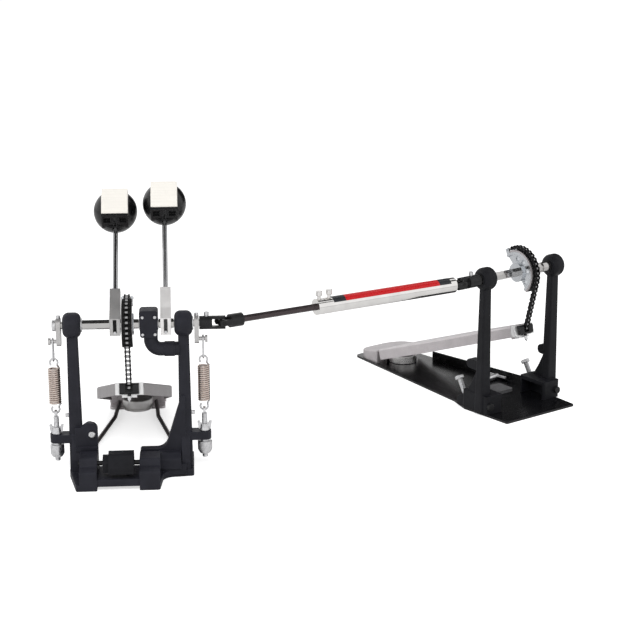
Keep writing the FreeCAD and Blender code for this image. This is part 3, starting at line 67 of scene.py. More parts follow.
JOINTS = {joint["name"]: joint for joint in frame["joints"]}
AXLE = Vector(JOINTS["main_stroke"]["pos_m"])
SLAVE_AXLE = Vector(JOINTS["slave_stroke"]["pos_m"])
SLAVE_TURN = math.atan2(JOINTS["slave_stroke"]["axis"][1], JOINTS["slave_stroke"]["axis"][0])
SHAFT_START = Vector(JOINTS["shaft_rod_spin"]["pos_m"])
SHAFT_END = Vector(JOINTS["shaft_tube_spin"]["pos_m"])
SHAFT_TURN = math.atan2(SHAFT_END.y - SHAFT_START.y, SHAFT_END.x - SHAFT_START.x)
MM = 0.001
# How far a riser disc's middle lies ahead of its hinge, and a little more than its radius.
DISC_AHEAD, DISC_REACH = 17.5 * MM, 20.8 * MM
# How far the first and last ring of a thread or knurl lie under its surface.
END_SINK = 0.1 * MM
# Paler steel painted on the sharp edges of black steel as a painted highlight.
EDGE_HIGHLIGHT_STEEL = (0.12, 0.11, 0.10)
SENSOR_WIDTH = 36
WHITE, BLACK = (1, 1, 1, 1), (0, 0, 0, 1)


def colour(name, description, value):
    """Colour setting shown in the sidebar."""
    return FloatVectorProperty(
        name=name, description=description, subtype="COLOR", size=3, min=0, max=1, default=value
    )


def length(name, description, value):
    """Length setting in metres shown in the sidebar."""
    return FloatProperty(
        name=name, description=description, unit="LENGTH", precision=5, min=0, default=value
    )


class PedalColours(bpy.types.PropertyGroup):
    """Colours of the pedal's finishes."""

    coat: colour("Powder coat", "Castings of the main pedal", (0.0182, 0.0185, 0.0250))
    # Painted shade: the same powder coat as the main castings, painted darker on the slave posts and the jaw.
    shaded_slave_coat: colour("Slave coat", "Slave posts and the hoop clamp's jaw", (0.0078, 0.0080, 0.0102))
    plate: colour("Plate coat", "Floor plate of the slave pedal", (0.0045, 0.0045, 0.0055))
    black_steel: colour("Black steel", "Yokes and chain plates", (0.011, 0.011, 0.012))
    brown_steel: colour(
        "Browned steel", "Hexagonal rod of the shaft, and the radius rods by a share", (0.088, 0.072, 0.075)
    )
    chrome: colour("Chrome", "Axles, and the shaft tube by a share", (0.52, 0.51, 0.50))
    rod_chrome: colour("Rod chrome", "Beater rods", (0.48, 0.48, 0.49))
    nickel: colour("Satin nickel", "Beater holders and spring levers", (0.60, 0.59, 0.585))
    zinc: colour("Zinc plate", "Screws, nuts and links", (0.68, 0.68, 0.69))
    cam: colour("Cam plate", "Bright zinc of the chain cams", (0.62, 0.64, 0.665))
    cast: colour("Cast aluminium", "Main footboard, and the other castings by shares", (0.328, 0.310, 0.316))
    spring: colour("Spring wire", "Nickel plated wire with a warm cast", (0.64, 0.55, 0.50))
    roller: colour("Chain rollers", "Bare rollers between the chain plates", (0.40, 0.40, 0.405))
    rubber: colour("Rubber", "Pads on the cams", (0.007, 0.007, 0.007))
    ball: colour("Beater head", "Gloss plastic of the beater heads", (0.004, 0.004, 0.0045))
    felt: colour("Felt", "Wool of the beaters' striking blocks", (0.91, 0.88, 0.82))
    label: colour("Label", "Printed strip on the shaft tube", (0.56, 0.006, 0.010))
    label_ends: colour("Label ends", "Dark band at each end of the print", (0.016, 0.018, 0.022))
    floor_pad: colour("Floor pad", "Square pad on the floor plate", (0.13, 0.13, 0.135))


class PedalSizes(bpy.types.PropertyGroup):
    """Sizes of the pieces that are made here."""

    spring_wire: length("Spring wire", "Diameter of the spring's wire", 2.4 * MM)
    spring_turns: IntProperty(name="Spring turns", description="Turns of the coil", default=17, min=3)
    felt_edge: length("Felt edge", "Rounding of the felt block's edges", 1.3 * MM)
    label_from: length("Label start", "Distance of the print from the first joint", 155 * MM)
    label_to: length("Label end", "Distance of the print's far end from the first joint", 334 * MM)
    label_band: length("Label near band", "Length of the dark band at the print's near end", 18 * MM)
    label_far_band: length("Label far band", "Length of the dark band at the print's far end", 18 * MM)
    label_lift: length("Label film", "Height of the print's film over the tube", 0.12 * MM)
    knurl_depth: length("Knurl depth", "Height of the knurling", 0.45 * MM)
    thread_pitch: length("Thread pitch", "Pitch of the rods' and spurs' threads", 1.0 * MM)
    thread_depth: length("Thread depth", "Height of the threads over their rods", 0.35 * MM)


class PedalStage(bpy.types.PropertyGroup):
    """Camera and light."""

    lens: FloatProperty(
        name="Lens", description="Focal length on a 36 mm sensor", default=95.5, unit="CAMERA"
    )
    pitch: FloatProperty(
        name="Pitch", description="Camera's tilt below level", subtype="ANGLE", default=math.radians(16.02)
    )
    yaw: FloatProperty(
        name="Yaw", description="Camera's turn to the right", subtype="ANGLE", default=math.radians(4.27)
    )
    eye: FloatVectorProperty(
        name="Camera place", description="Where the camera stands", subtype="TRANSLATION", size=3,
        default=(AXLE.x + 0.08512, AXLE.y - 1.98073, 0.76041),
    )
    key_power: FloatProperty(
        name="Key light", description="Power of the large front light", unit="POWER", default=30.0
    )
    side_power: FloatProperty(
        name="Side lights", description="Power of each side light", unit="POWER", default=9.0
    )
    sky: FloatProperty(name="Sky", description="Strength of the surrounding light", default=0.5)


def settings(context):
    """Colours, sizes and stage settings of the scene."""
    scene = context.scene
    return scene.pedal_colours, scene.pedal_sizes, scene.pedal_stage


class Finish:
    """Node tree of one material, built round a Principled shader."""

    def __init__(self, name, **values):
        self.material = bpy.data.materials.new(name)
        self.material.use_nodes = True
        self.nodes = self.material.node_tree.nodes
        self.links = self.material.node_tree.links
        self.shader = self.nodes["Principled BSDF"]
        for socket, value in values.items():
            self.shader.inputs[socket.replace("_", " ")].default_value = value

    def add(self, kind, inputs=None, **attributes):
        """New node with its attributes set; an input is a number or another node's output."""
        node = self.nodes.new(kind)
        for name, value in attributes.items():
            setattr(node, name, value)
        for socket, value in (inputs or {}).items():
            self.put(node.inputs[socket], value)
        return node

    def put(self, socket, value):
        """Links an output to a socket, or sets the socket to a number or a colour."""
        if isinstance(value, bpy.types.NodeSocket):
            self.links.new(value, socket)
        elif socket.type == "RGBA" and len(value) == 3:
            socket.default_value = (*value, 1.0)
        else:
            socket.default_value = value

    def feed(self, socket, output):
        """Links an output to a socket of the shader."""
        self.links.new(output, self.shader.inputs[socket])

    def place(self):
        """Object coordinates, which are the part's own frame in metres."""
        return self.add("ShaderNodeTexCoord").outputs["Object"]

    def surface(self):
        """Texture coordinates of the piece's own map."""
        return self.add("ShaderNodeTexCoord").outputs["UV"]

    def local(self, origin, turn):
        """Object coordinates about an origin, turned back by an angle about Z, as X, Y and Z."""
        back = Matrix.Rotation(-turn, 3, "Z")
        node = self.add("ShaderNodeMapping", {
            "Vector": self.place(), "Rotation": (0, 0, -turn), "Location": -(back @ Vector(origin)),
        }, vector_type="POINT")
        return self.add("ShaderNodeSeparateXYZ", {"Vector": node.outputs["Vector"]}).outputs

    def noise(self, scale, detail=2.0, vector=None, roughness=0.5):
        """Noise whose features are about 1/scale metres wide."""
        node = self.add("ShaderNodeTexNoise", {
            "Vector": vector or self.place(), "Scale": scale, "Detail": detail, "Roughness": roughness,
        })
        return node.outputs["Fac"]

    def ramp(self, fac, low, high, start=0.3, end=0.7):
        """Colour that runs from low to high as fac goes from start to end."""
        node = self.add("ShaderNodeValToRGB", {"Fac": fac})
        for element, position, tint in zip(node.color_ramp.elements, (start, end), (low, high)):
            element.position = position
            element.color = (*tint, 1.0)
        return node.outputs["Color"]

    def span(self, fac, low, high, start=0.3, end=0.7):
        """Number that runs from low to high as fac goes from start to end."""
        node = self.add("ShaderNodeMapRange", {
            "Value": fac, "From Min": start, "From Max": end, "To Min": low, "To Max": high,
        })
        return node.outputs["Result"]

    def mottled(self, tint, low, high, scale, detail):
        """Tint that wanders between two shares of itself with noise of a scale."""
        return self.ramp(self.noise(scale, detail), scaled(tint, low), scaled(tint, high))

    def varied(self, low, high, scale, detail):
        """Number that wanders between low and high with noise of a scale."""
        return self.span(self.noise(scale, detail), low, high)

    def within(self, value, middle, half):
        """1 where a number is no further than half from middle."""
        off = self.math("ABSOLUTE", self.math("SUBTRACT", value, middle))
        return self.math("LESS_THAN", off, half)

    def math(self, operation, first, second=0.0):
        """Result of a mathematical operation on two numbers or outputs."""
        return self.add("ShaderNodeMath", {0: first, 1: second}, operation=operation).outputs["Value"]

    def mix(self, fac, first, second):
        """Mix of two colours or outputs."""
        return self.add("ShaderNodeMix", {0: fac, 6: first, 7: second}, data_type="RGBA").outputs[2]

    def bump(self, height, strength, distance, edge=0.0):
        """Bump on the shader's normal, over rounded edges where edge is their radius."""
        node = self.add("ShaderNodeBump", {"Height": height, "Strength": strength, "Distance": distance})
        if edge:
            self.links.new(self.rounded(edge), node.inputs["Normal"])
        self.feed("Normal", node.outputs["Normal"])

    def grain(self, strength, distance, scale, detail, edge=0.0):
        """Bump of noise of a scale."""
        self.bump(self.noise(scale, detail), strength, distance, edge)

    def rounded(self, radius):
        """Normal with edges softened over a radius."""
        return self.add("ShaderNodeBevel", {"Radius": radius}, samples=4).outputs["Normal"]

    def edges(self, radius, start=0.02, end=0.35):
        """1 along sharp edges and 0 on flat faces."""
        plain = self.add("ShaderNodeNewGeometry").outputs["Normal"]
        turn = self.add("ShaderNodeVectorMath", {0: plain, 1: self.rounded(radius)}, operation="DOT_PRODUCT")
        return self.span(self.math("SUBTRACT", 1.0, turn.outputs["Value"]), 0.0, 1.0, start, end)

    def edge_highlight(self, radius, share):
        """Painted edge highlight: a share along sharp edges and 0 on flat faces."""
        return self.math("MULTIPLY", self.edges(radius), share)


def scaled(value, factor):
    """Colour made lighter or darker."""
    return tuple(min(1.0, channel * factor) for channel in value)


def powder_coat(name, tint, rough=0.5):
    """Fine orange-peel coat, with sharp edges a little paler and smoother; the paler edges are a painted
    highlight.
    """
    finish = Finish(name, Specular_IOR_Level=0.2)
    broad = finish.mottled(tint, 0.82, 1.22, scale=45, detail=3)
    # Painted highlight: sharp edges paler than the coat.
    edge_highlight = finish.edge_highlight(radius=0.7 * MM, share=0.6)
    finish.feed("Base Color", finish.mix(edge_highlight, broad, scaled(tint, 4.5)))
    finish.feed("Roughness", finish.varied(rough - 0.07, rough + 0.08, scale=260, detail=2))
    finish.grain(0.35, 0.12 * MM, scale=1500, detail=3, edge=0.8 * MM)
    return finish.material


def floor_plate(name, tint, pad):
    """Satin coat of the floor plate, and the square pad behind its posts in grey rubber."""
    pad_at = (18 * MM, 53 * MM)
    pad_half = 14.2 * MM
    pad_low = 3.3 * MM
    pad_matt = 0.4
    finish = Finish(name, Specular_IOR_Level=0.45)
    across, along, height = finish.local((SLAVE_AXLE.x, SLAVE_AXLE.y, 0), SLAVE_TURN)
    inside = finish.math("GREATER_THAN", height, pad_low)
    for way, middle in zip((across, along), pad_at):
        inside = finish.math("MULTIPLY", inside, finish.within(way, middle, pad_half))
    broad = finish.mottled(tint, 0.8, 1.25, scale=30, detail=3)
    # Painted highlight: sharp edges of the coat paler.
    edge_highlight = finish.edge_highlight(radius=0.6 * MM, share=0.5)
    coat = finish.mix(edge_highlight, broad, scaled(tint, 5))
    rubber = finish.mottled(pad, 0.8, 1.2, scale=400, detail=3)
    finish.feed("Base Color", finish.mix(inside, coat, rubber))
    finish.feed("Roughness", finish.math("ADD", finish.varied(0.18, 0.26, scale=220, detail=3),
                                         finish.math("MULTIPLY", inside, pad_matt)))
    finish.grain(0.2, 0.08 * MM, scale=1300, detail=3, edge=0.6 * MM)
    return finish.material


def polished(name, tint, rough=0.09):
    """Plated bright metal with faint wipe marks."""
    finish = Finish(name, Metallic=1.0)
    finish.feed("Base Color", finish.mottled(tint, 0.92, 1.06, scale=60, detail=2))
    finish.feed("Roughness", finish.varied(rough * 0.7, rough * 1.5, scale=420, detail=4))
    finish.grain(0.02, 0.03 * MM, scale=2200, detail=2, edge=0.35 * MM)
    return finish.material


def slotted_nickel(name, tint, slot_shade, rough, middle):
    """Satin nickel of a beater holder, with painted shade inside the slot in its face; middle is the slot's
    X.
    """
    slot_middle = (0.0, -8.2 * MM, -0.5 * MM)
    slot_half = (2.3 * MM, 1.25 * MM, 8.7 * MM)
    finish = Finish(name, Metallic=1.0)
    inside = 1.0
    for way, centre, half in zip(finish.local((middle, AXLE.y, AXLE.z), 0.0), slot_middle, slot_half):
        inside = finish.math("MULTIPLY", inside, finish.within(way, centre, half))
    plated = finish.mottled(tint, 0.94, 1.05, scale=60, detail=2)
    # Painted shade: the inside of the slot is painted dark.
    finish.feed("Base Color", finish.mix(inside, plated, slot_shade))
    finish.feed("Roughness", finish.varied(rough - 0.05, rough + 0.05, scale=420, detail=4))
    finish.grain(0.05, 0.03 * MM, scale=1600, detail=2, edge=0.5 * MM)
    return finish.material


def zinc_plate(name, tint):
    """Bright zinc with a cloudy lustre."""
    finish = Finish(name, Metallic=1.0)
    finish.feed("Base Color", finish.mottled(tint, 0.86, 1.14, scale=320, detail=4))
    finish.feed("Roughness", finish.varied(0.24, 0.4, scale=700, detail=3))
    finish.grain(0.14, 0.05 * MM, scale=1800, detail=2, edge=0.4 * MM)
    return finish.material


def cast_metal(name, tint, rough=0.4, toe=None, disc=None):
    """Bead-blasted cast aluminium: fine grain, soft blotches and bright edges that are a painted highlight.

    A footboard's toe is machined bright; toe is the place and turn of the pedal's frame, and the toe's Y in
    that frame.
    The riser disc on a heel is turned steel; disc is the place and turn of the heel's hinge, and the steel's
    roughness.
    """
    toe_half = 17.4 * MM
    machined_tint = (0.82, 0.82, 0.82)
    steel_tint = (0.9, 0.885, 0.875)
    finish = Finish(name, Metallic=1.0)
    grain = finish.mottled(tint, 0.78, 1.14, scale=1300, detail=2)
    blotch = finish.mottled(tint, 0.85, 1.1, scale=55, detail=3)
    # Painted highlight: sharp edges brighter than the casting.
    edge_highlight = finish.edge_highlight(radius=0.8 * MM, share=0.6)
    surface = finish.mix(edge_highlight, finish.mix(0.5, grain, blotch), scaled(tint, 1.7))
    if toe:
        origin, turn, limit = toe
        across, along, _ = finish.local(origin, turn)
        machined = finish.math("MULTIPLY", finish.within(across, 0.0, toe_half),
                               finish.math("LESS_THAN", along, limit))
        surface = finish.mix(machined, surface, machined_tint)
    smooth = finish.varied(rough - 0.08, rough + 0.1, scale=900, detail=2)
    if disc:
        hinge, turn, steel_rough = disc
        across, along, _ = finish.local(hinge, turn)
        ahead = finish.math("ADD", along, DISC_AHEAD)
        reach = finish.math("ADD", finish.math("POWER", across, 2.0), finish.math("POWER", ahead, 2.0))
        steel = finish.math("LESS_THAN", reach, DISC_REACH ** 2)
        surface = finish.mix(steel, surface, steel_tint)
        smooth = finish.math("SUBTRACT", smooth, finish.math("MULTIPLY", steel, rough - steel_rough))
    finish.feed("Base Color", surface)
    finish.feed("Roughness", smooth)
    finish.grain(0.3, 0.1 * MM, scale=1700, detail=3, edge=0.9 * MM)
    return finish.material


def black_oxide(name, tint, rough=0.34):
    """Oiled black steel whose sharp edges are painted a faint brown as a highlight."""
    finish = Finish(name, Metallic=0.4, Specular_IOR_Level=0.4)
    broad = finish.mottled(tint, 0.75, 1.5, scale=150, detail=3)
    # Painted highlight: sharp edges paler than the black steel.
    edge_highlight = finish.edge_highlight(radius=0.5 * MM, share=0.5)
    finish.feed("Base Color", finish.mix(edge_highlight, broad, EDGE_HIGHLIGHT_STEEL))
    finish.feed("Roughness", finish.varied(rough - 0.08, rough + 0.1, scale=500, detail=3))
    finish.grain(0.18, 0.06 * MM, scale=1600, detail=2, edge=0.4 * MM)
    return finish.material


def bright_and_black(name, bright, black, origin, turn, axis, sign, limit, rough):
    """Bright plated metal that is black steel where sign times a local coordinate is over a limit."""
    black_rough = 0.35
    metal_lost = 0.6
    finish = Finish(name)
    way = finish.math("MULTIPLY", finish.local(origin, turn)[axis], sign)
    dark = finish.math("GREATER_THAN", way, limit)
    plated = finish.mottled(bright, 0.92, 1.06, scale=60, detail=2)
    oxide = finish.mottled(black, 0.75, 1.5, scale=150, detail=3)
    # Painted highlight: sharp edges of the black steel paler.
    edge_lit = finish.mix(finish.edge_highlight(radius=0.5 * MM, share=0.5), oxide, EDGE_HIGHLIGHT_STEEL)
    finish.feed("Base Color", finish.mix(dark, plated, edge_lit))
    finish.feed("Metallic", finish.math("SUBTRACT", 1.0, finish.math("MULTIPLY", dark, metal_lost)))
    smooth = finish.varied(rough * 0.7, rough * 1.5, scale=420, detail=4)
    finish.feed("Roughness", finish.math("ADD", smooth, finish.math("MULTIPLY", dark, black_rough - rough)))
    finish.grain(0.1, 0.04 * MM, scale=2000, detail=2, edge=0.35 * MM)
    return finish.material


def chain_steel(name, tint, roller, origin, turn):
    """Black link plates with bare rollers between them; the origin is in the chain's middle plane."""
    roller_half = 1.6 * MM
    pin_half = 3.45 * MM
    edge_tint = (0.14, 0.13, 0.125)
    pin_tint = (0.06, 0.058, 0.056)
    finish = Finish(name, Metallic=0.85)
    off = finish.math("ABSOLUTE", finish.local(origin, turn)["X"])
    bare = finish.math("LESS_THAN", off, roller_half)
    pin = finish.math("GREATER_THAN", off, pin_half)
    plates = finish.mottled(tint, 0.8, 1.9, scale=240, detail=3)
    # Painted highlight: sharp edges of the plates paler.
    edge_highlight = finish.edge_highlight(radius=0.35 * MM, share=0.35)
    edge_lit = finish.mix(edge_highlight, plates, edge_tint)
    finish.feed("Base Color", finish.mix(pin, finish.mix(bare, edge_lit, roller), pin_tint))
    finish.feed("Roughness", finish.varied(0.26, 0.4, scale=600, detail=2))
    finish.grain(0.12, 0.05 * MM, scale=1500, detail=2, edge=0.25 * MM)
    return finish.material


def rubber_pad(name, tint, metal, origin, turn, half):
    """Matt black rubber up to half its width from the chain's middle plane, and bare metal beyond."""
    metal_smoother = 0.35
    finish = Finish(name, Specular_IOR_Level=0.3)
    off = finish.math("ABSOLUTE", finish.local(origin, turn)["X"])
    bare = finish.math("GREATER_THAN", off, half)
    grain = finish.mottled(tint, 0.7, 1.6, scale=200, detail=3)
    finish.feed("Base Color", finish.mix(bare, grain, metal))
    finish.feed("Metallic", bare)
    finish.feed("Roughness", finish.math("SUBTRACT", finish.varied(0.62, 0.8, scale=600, detail=2),
                                         finish.math("MULTIPLY", bare, metal_smoother)))
    finish.grain(0.3, 0.08 * MM, scale=1400, detail=3, edge=0.4 * MM)
    return finish.material


def gloss_plastic(name, tint):
    """Moulded black plastic with a soft shine and slight flow marks."""
    finish = Finish(name, Specular_IOR_Level=0.45)
    finish.feed("Base Color", finish.mottled(tint, 0.8, 1.5, scale=40, detail=3))
    finish.feed("Roughness", finish.varied(0.2, 0.3, scale=130, detail=3))
    finish.grain(0.05, 0.15 * MM, scale=70, detail=2, edge=0.9 * MM)
    return finish.material


def wool_felt(name, tint):
    """Pressed wool: matted fibres, cloudy ivory, faint layers along the block and a soft sheen."""
    layer_scale = (0.12, 9.0, 1.0)
    finish = Finish(name, Specular_IOR_Level=0.12, Sheen_Weight=0.25, Sheen_Roughness=0.55, Roughness=0.95)
    cloud = finish.mottled(tint, 0.96, 1.05, scale=70, detail=4)
    fibre = finish.noise(1100, 6, roughness=0.7)
    shade = finish.ramp(fibre, scaled(tint, 0.9), scaled(tint, 1.1))
    stretched = finish.add("ShaderNodeMapping", {"Vector": finish.surface(), "Scale": layer_scale})
    layer = finish.noise(3, 3, vector=stretched.outputs["Vector"])
    layers = finish.ramp(layer, scaled(tint, 0.9), scaled(tint, 1.04), 0.35, 0.55)
    finish.feed("Base Color", finish.mix(0.4, finish.mix(0.45, cloud, shade), layers))
    finish.bump(finish.math("ADD", fibre, layer), 0.5, 0.3 * MM)
    return finish.material


def spring_steel(name, tint, hook):
    """Plated spring wire, warm and slightly clouded, with paler hooks where the texture coordinate is 0."""
    finish = Finish(name, Metallic=1.0)
    coiled = finish.add("ShaderNodeSeparateXYZ", {"Vector": finish.surface()}).outputs["X"]
    wire = finish.mottled(tint, 0.82, 1.15, scale=350, detail=3)
    finish.feed("Base Color", finish.mix(coiled, hook, wire))
    finish.feed("Roughness", finish.varied(0.1, 0.2, scale=900, detail=2))
    finish.grain(0.08, 0.03 * MM, scale=2400, detail=2)
    return finish.material


def printed_film(name, tint, ends, near, far):
    """Glossy print with dark ends; the second texture coordinate runs along it from 0 to 1."""
    finish = Finish(name, Specular_IOR_Level=0.4)
    along = finish.add("ShaderNodeSeparateXYZ", {"Vector": finish.surface()}).outputs["Y"]
    band = finish.math("MAXIMUM", finish.math("LESS_THAN", along, near),
                       finish.math("GREATER_THAN", along, 1 - far))
    ink = finish.mottled(tint, 0.97, 1.03, scale=500, detail=3)
    finish.feed("Base Color", finish.mix(band, ink, ends))
    finish.feed("Roughness", finish.varied(0.24, 0.32, scale=300, detail=2))
    finish.grain(0.04, 0.03 * MM, scale=900, detail=2)
    return finish.material


def ring_faces(rows, columns):
    """Quads of a grid of rows by columns, the last column joined to the first."""
    i, j = np.meshgrid(np.arange(rows - 1), np.arange(columns), indexing="ij")
    k = (j + 1) % columns
    quads = [i * columns + j, i * columns + k, (i + 1) * columns + k, (i + 1) * columns + j]
    return np.stack(quads, axis=-1).reshape(-1, 4)


def shell(rows):
    """Closed surface from an array of closed rings, with a fan of triangles on each end."""
    count, columns = rows.shape[:2]
    ends = np.stack([rows[0].mean(0), rows[-1].mean(0)])
    points = np.concatenate([rows.reshape(-1, 3), ends])
    first, second = len(points) - 2, len(points) - 1
    j = np.arange(columns)
    k = (j + 1) % columns
    top = (count - 1) * columns
    lids = [
        np.stack([k, j, np.full(columns, first)], axis=-1),
        np.stack([top + j, top + k, np.full(columns, second)], axis=-1),
    ]
    return points, [ring_faces(count, columns), *lids]


def add_piece(name, points, faces, material, uv=None):
    """Mesh object at the origin from points and arrays of faces, smooth shaded."""
    mesh = bpy.data.meshes.new(name)
    mesh.from_pydata(points.tolist(), [], [face for block in faces for face in block.tolist()])
    if uv is not None:
        layer = mesh.uv_layers.new(name="UVMap")
        corners = np.empty(len(mesh.loops), dtype=np.int32)
        mesh.loops.foreach_get("vertex_index", corners)
        layer.data.foreach_set("uv", uv[corners].astype(np.float32).ravel())
    mesh.polygons.foreach_set("use_smooth", np.ones(len(mesh.polygons), dtype=bool))
    mesh.materials.append(material)
    mesh.update()
    obj = bpy.data.objects.new(name, mesh)
    bpy.context.scene.collection.objects.link(obj)
    return obj


def add_sheet(name, corners, material):
    """Flat piece with four corners."""
    return add_piece(name, np.array(corners), [np.array([[0, 1, 2, 3]])], material)


def tube_rings(path, reference, radius, sides=14):
    """Circles of a radius square to a path; reference is a direction off the path at each point."""
    along = np.gradient(path, axis=0)
    along /= np.linalg.norm(along, axis=1, keepdims=True)
    across = reference - along * np.sum(reference * along, axis=1, keepdims=True)
    across /= np.linalg.norm(across, axis=1, keepdims=True)
    third = np.cross(along, across)
    turn = np.linspace(0, 2 * np.pi, sides, endpoint=False)[None, :, None]
    return path[:, None] + radius * (np.cos(turn) * across[:, None] + np.sin(turn) * third[:, None])


def round_rows(heights, radii, around):
    """Rings about the Z axis: one radius for each height and each angle around."""
    x = radii * np.cos(around)
    y = radii * np.sin(around)
    return np.stack([x, y, np.broadcast_to(heights[:, None], x.shape)], axis=-1)


def knurled_rows(low, high, radius, depth, cuts, slant):
    """Knurled cylinder: the lower of two sine ridges that wind left and right stands on the radius."""
    steps, steps_per_cut = 48, 10
    heights = np.linspace(low, high, steps)
    around = np.linspace(0, 2 * np.pi, steps_per_cut * cuts, endpoint=False)
    climb = slant * heights[:, None]
    ridge = np.minimum(np.abs(np.sin(cuts * around + climb)), np.abs(np.sin(cuts * around - climb)))
    radii = radius + depth * ridge
    radii[[0, -1]] = radius - END_SINK
    return round_rows(heights, radii, around)


def thread_rows(low, high, radius, depth, pitch):
    """Screw thread: the radius rises and falls by depth as a triangle wave of height less turn."""
    steps_per_turn, sides = 8, 32
    heights = np.linspace(low, high, int(steps_per_turn * (high - low) / pitch))
    around = np.linspace(0, 2 * np.pi, sides, endpoint=False)
    phase = (heights[:, None] / pitch - around / (2 * np.pi)) % 1
    radii = radius + depth * (1 - np.abs(2 * phase - 1))
    radii[[0, -1]] = radius - END_SINK
    return round_rows(heights, radii, around)


def moved(points, matrix):
    """Points carried by a 4x4 matrix."""
    matrix = np.array(matrix)
    return points @ matrix[:3, :3].T + matrix[:3, 3]


def hermite(start, start_way, end, end_way, steps):
    """Cubic curve between two points that leaves and arrives along the given directions."""
    t = np.linspace(0, 1, steps)[:, None]
    return (
        (2 * t**3 - 3 * t**2 + 1) * start
        + (t**3 - 2 * t**2 + t) * start_way
        + (3 * t**2 - 2 * t**3) * end
        + (t**3 - t**2) * end_way
    )


def slave_matrix():
    """Place of the slave pedal's own frame: on the floor under its axle, turned with it."""
    return Matrix.Translation((SLAVE_AXLE.x, SLAVE_AXLE.y, 0)) @ Matrix.Rotation(SLAVE_TURN, 4, "Z")


def dress(material, *nodes):
    """Gives one material to CAD nodes."""
    for name in nodes:
        slots = frame["nodes"][name].data.materials
        slots.clear()
        slots.append(material)


class PEDAL_OT_castings(bpy.types.Operator):
    """Powder coat on the castings, posts and floor plate"""

    bl_idname = "pedal.castings"
    bl_label = "Finish castings"

    def execute(self, context):
        colours, _, _ = settings(context)
        dress(
            powder_coat("charcoal_coat", colours.coat),
            "main_post_left", "main_post_right", "main_cross_bar", "centre_block",
        )
        # The slave posts and the jaw take the darker copy of the coat as painted shade.
        dress(powder_coat("shaded_slave_coat", colours.shaded_slave_coat), "slave_post_near", "slave_post_far", "clamp_jaw")
        dress(floor_plate("plate_coat", colours.plate, colours.floor_pad), "slave_base_plate")
        return {"FINISHED"}


class PEDAL_OT_metals(bpy.types.Operator):
    """Chrome, zinc, cast aluminium and black steel on the moving parts and fasteners"""

    bl_idname = "pedal.metals"
    bl_label = "Finish metals"

    def execute(self, context):
        colours, _, _ = settings(context)
        dress(polished("chrome", colours.chrome), "main_axle", "aux_axle", "slave_axle")
        dress(polished("rod_chrome", colours.rod_chrome), "main_beater_rod", "aux_beater_rod")
        dress(polished("satin_nickel", colours.nickel, rough=0.36), "main_spring_lever", "aux_spring_lever")
        # Both beater holders are one part in one nickel; as painted light the aux holder is painted lighter
        # than the main one, and each gets its own painted shade in the slot.
        for side, share, slot_shade, rough in (("main", 0.9, 0.02, 0.35), ("aux", 1.55, 0.1, 0.6)):
            node = side + "_beater_holder"
            low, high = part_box(node)
            tint, middle = scaled(colours.nickel, share), (low.x + high.x) / 2
            dress(slotted_nickel(node + "_nickel", tint, (slot_shade, slot_shade, slot_shade), rough, middle), node)
        dress(
            zinc_plate("zinc", colours.zinc),
            "frame_fasteners", "clamp_bolt", "main_key_bolts", "aux_key_bolts", "drum_key", "main_bearings",
            "tension_eye_rods", "tension_nuts", "main_spring_link", "aux_spring_link",
        )
        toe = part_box("main_toe_clamp")[1].y - AXLE.y
        # Painted light: the slave footboard gets twice the main board's share of the same cast aluminium.
        lit_slave_board_share, radius_rod_share = 2.0, 0.5
        dress(cast_metal("main_board_metal", colours.cast, toe=(AXLE, 0.0, toe)), "main_footboard")
        tint = scaled(colours.cast, lit_slave_board_share)
        dress(cast_metal("slave_board_metal", tint, toe=(SLAVE_AXLE, SLAVE_TURN, toe)), "slave_footboard")
        # Painted light: the heel plates are painted lighter than the boards' cast aluminium to offset the
        # shade under the boards.
        for node, pedal, turn, share, disc_rough in (
            ("main_heel_plate", "main", 0.0, 2.0, 0.55), ("slave_heel_block", "slave", SLAVE_TURN, 1.7, 0.3),
        ):
            hinge = JOINTS[pedal + "_board_hinge"]["pos_m"]
            tint = scaled(colours.cast, share)
            dress(cast_metal(pedal + "_heel_metal", tint, rough=0.45, disc=(hinge, turn, disc_rough)), node)
        dress(polished("cam_zinc", colours.cam, rough=0.16), "main_cam", "slave_cam")
        dress(
            black_oxide("black_oxide", colours.black_steel),
            "first_yoke", "first_cross", "second_cross", "main_pins", "slave_bearings",
        )
        brown = scaled(colours.brown_steel, radius_rod_share)
        dress(black_oxide("browned_steel", brown), "radius_rod_left", "radius_rod_right")
        self.two_tone(colours)
        return {"FINISHED"}

    @staticmethod
    def two_tone(colours):
        """Parts whose node holds both bright and black pieces."""
        zinc, black = colours.zinc, colours.black_steel
        tube_share = 1.6
        tube_end = 343.05 * MM
        yoke_top = 8.3 * MM
        bolt_front = 5 * MM
        rod_root = 28 * MM
        screw_top = -86.2 * MM
        tube = scaled(colours.chrome, tube_share)
        shaft, slave, axle = (SHAFT_START, SHAFT_TURN), (SLAVE_AXLE, SLAVE_TURN), (AXLE, 0.0)
        for name, bright, place, axis, sign, limit, rough, nodes in (
            ("tube_chrome", tube, shaft, "X", 1, tube_end, 0.09, ("shaft_tube",)),
            ("rod_brown", colours.brown_steel, shaft, "X", -1, -rod_root, 0.3, ("shaft_hex_rod",)),
            ("yoke_black", zinc, slave, "Z", -1, -yoke_top, 0.22, ("second_yoke",)),
            ("clamp_black", zinc, axle, "Z", 1, screw_top, 0.22, ("main_toe_clamp", "slave_toe_clamp")),
            ("spur_zinc", zinc, slave, "Y", -1, bolt_front, 0.22, ("slave_fasteners",)),
        ):
            dress(bright_and_black(name, bright, black, *place, axis, sign, limit, rough), *nodes)


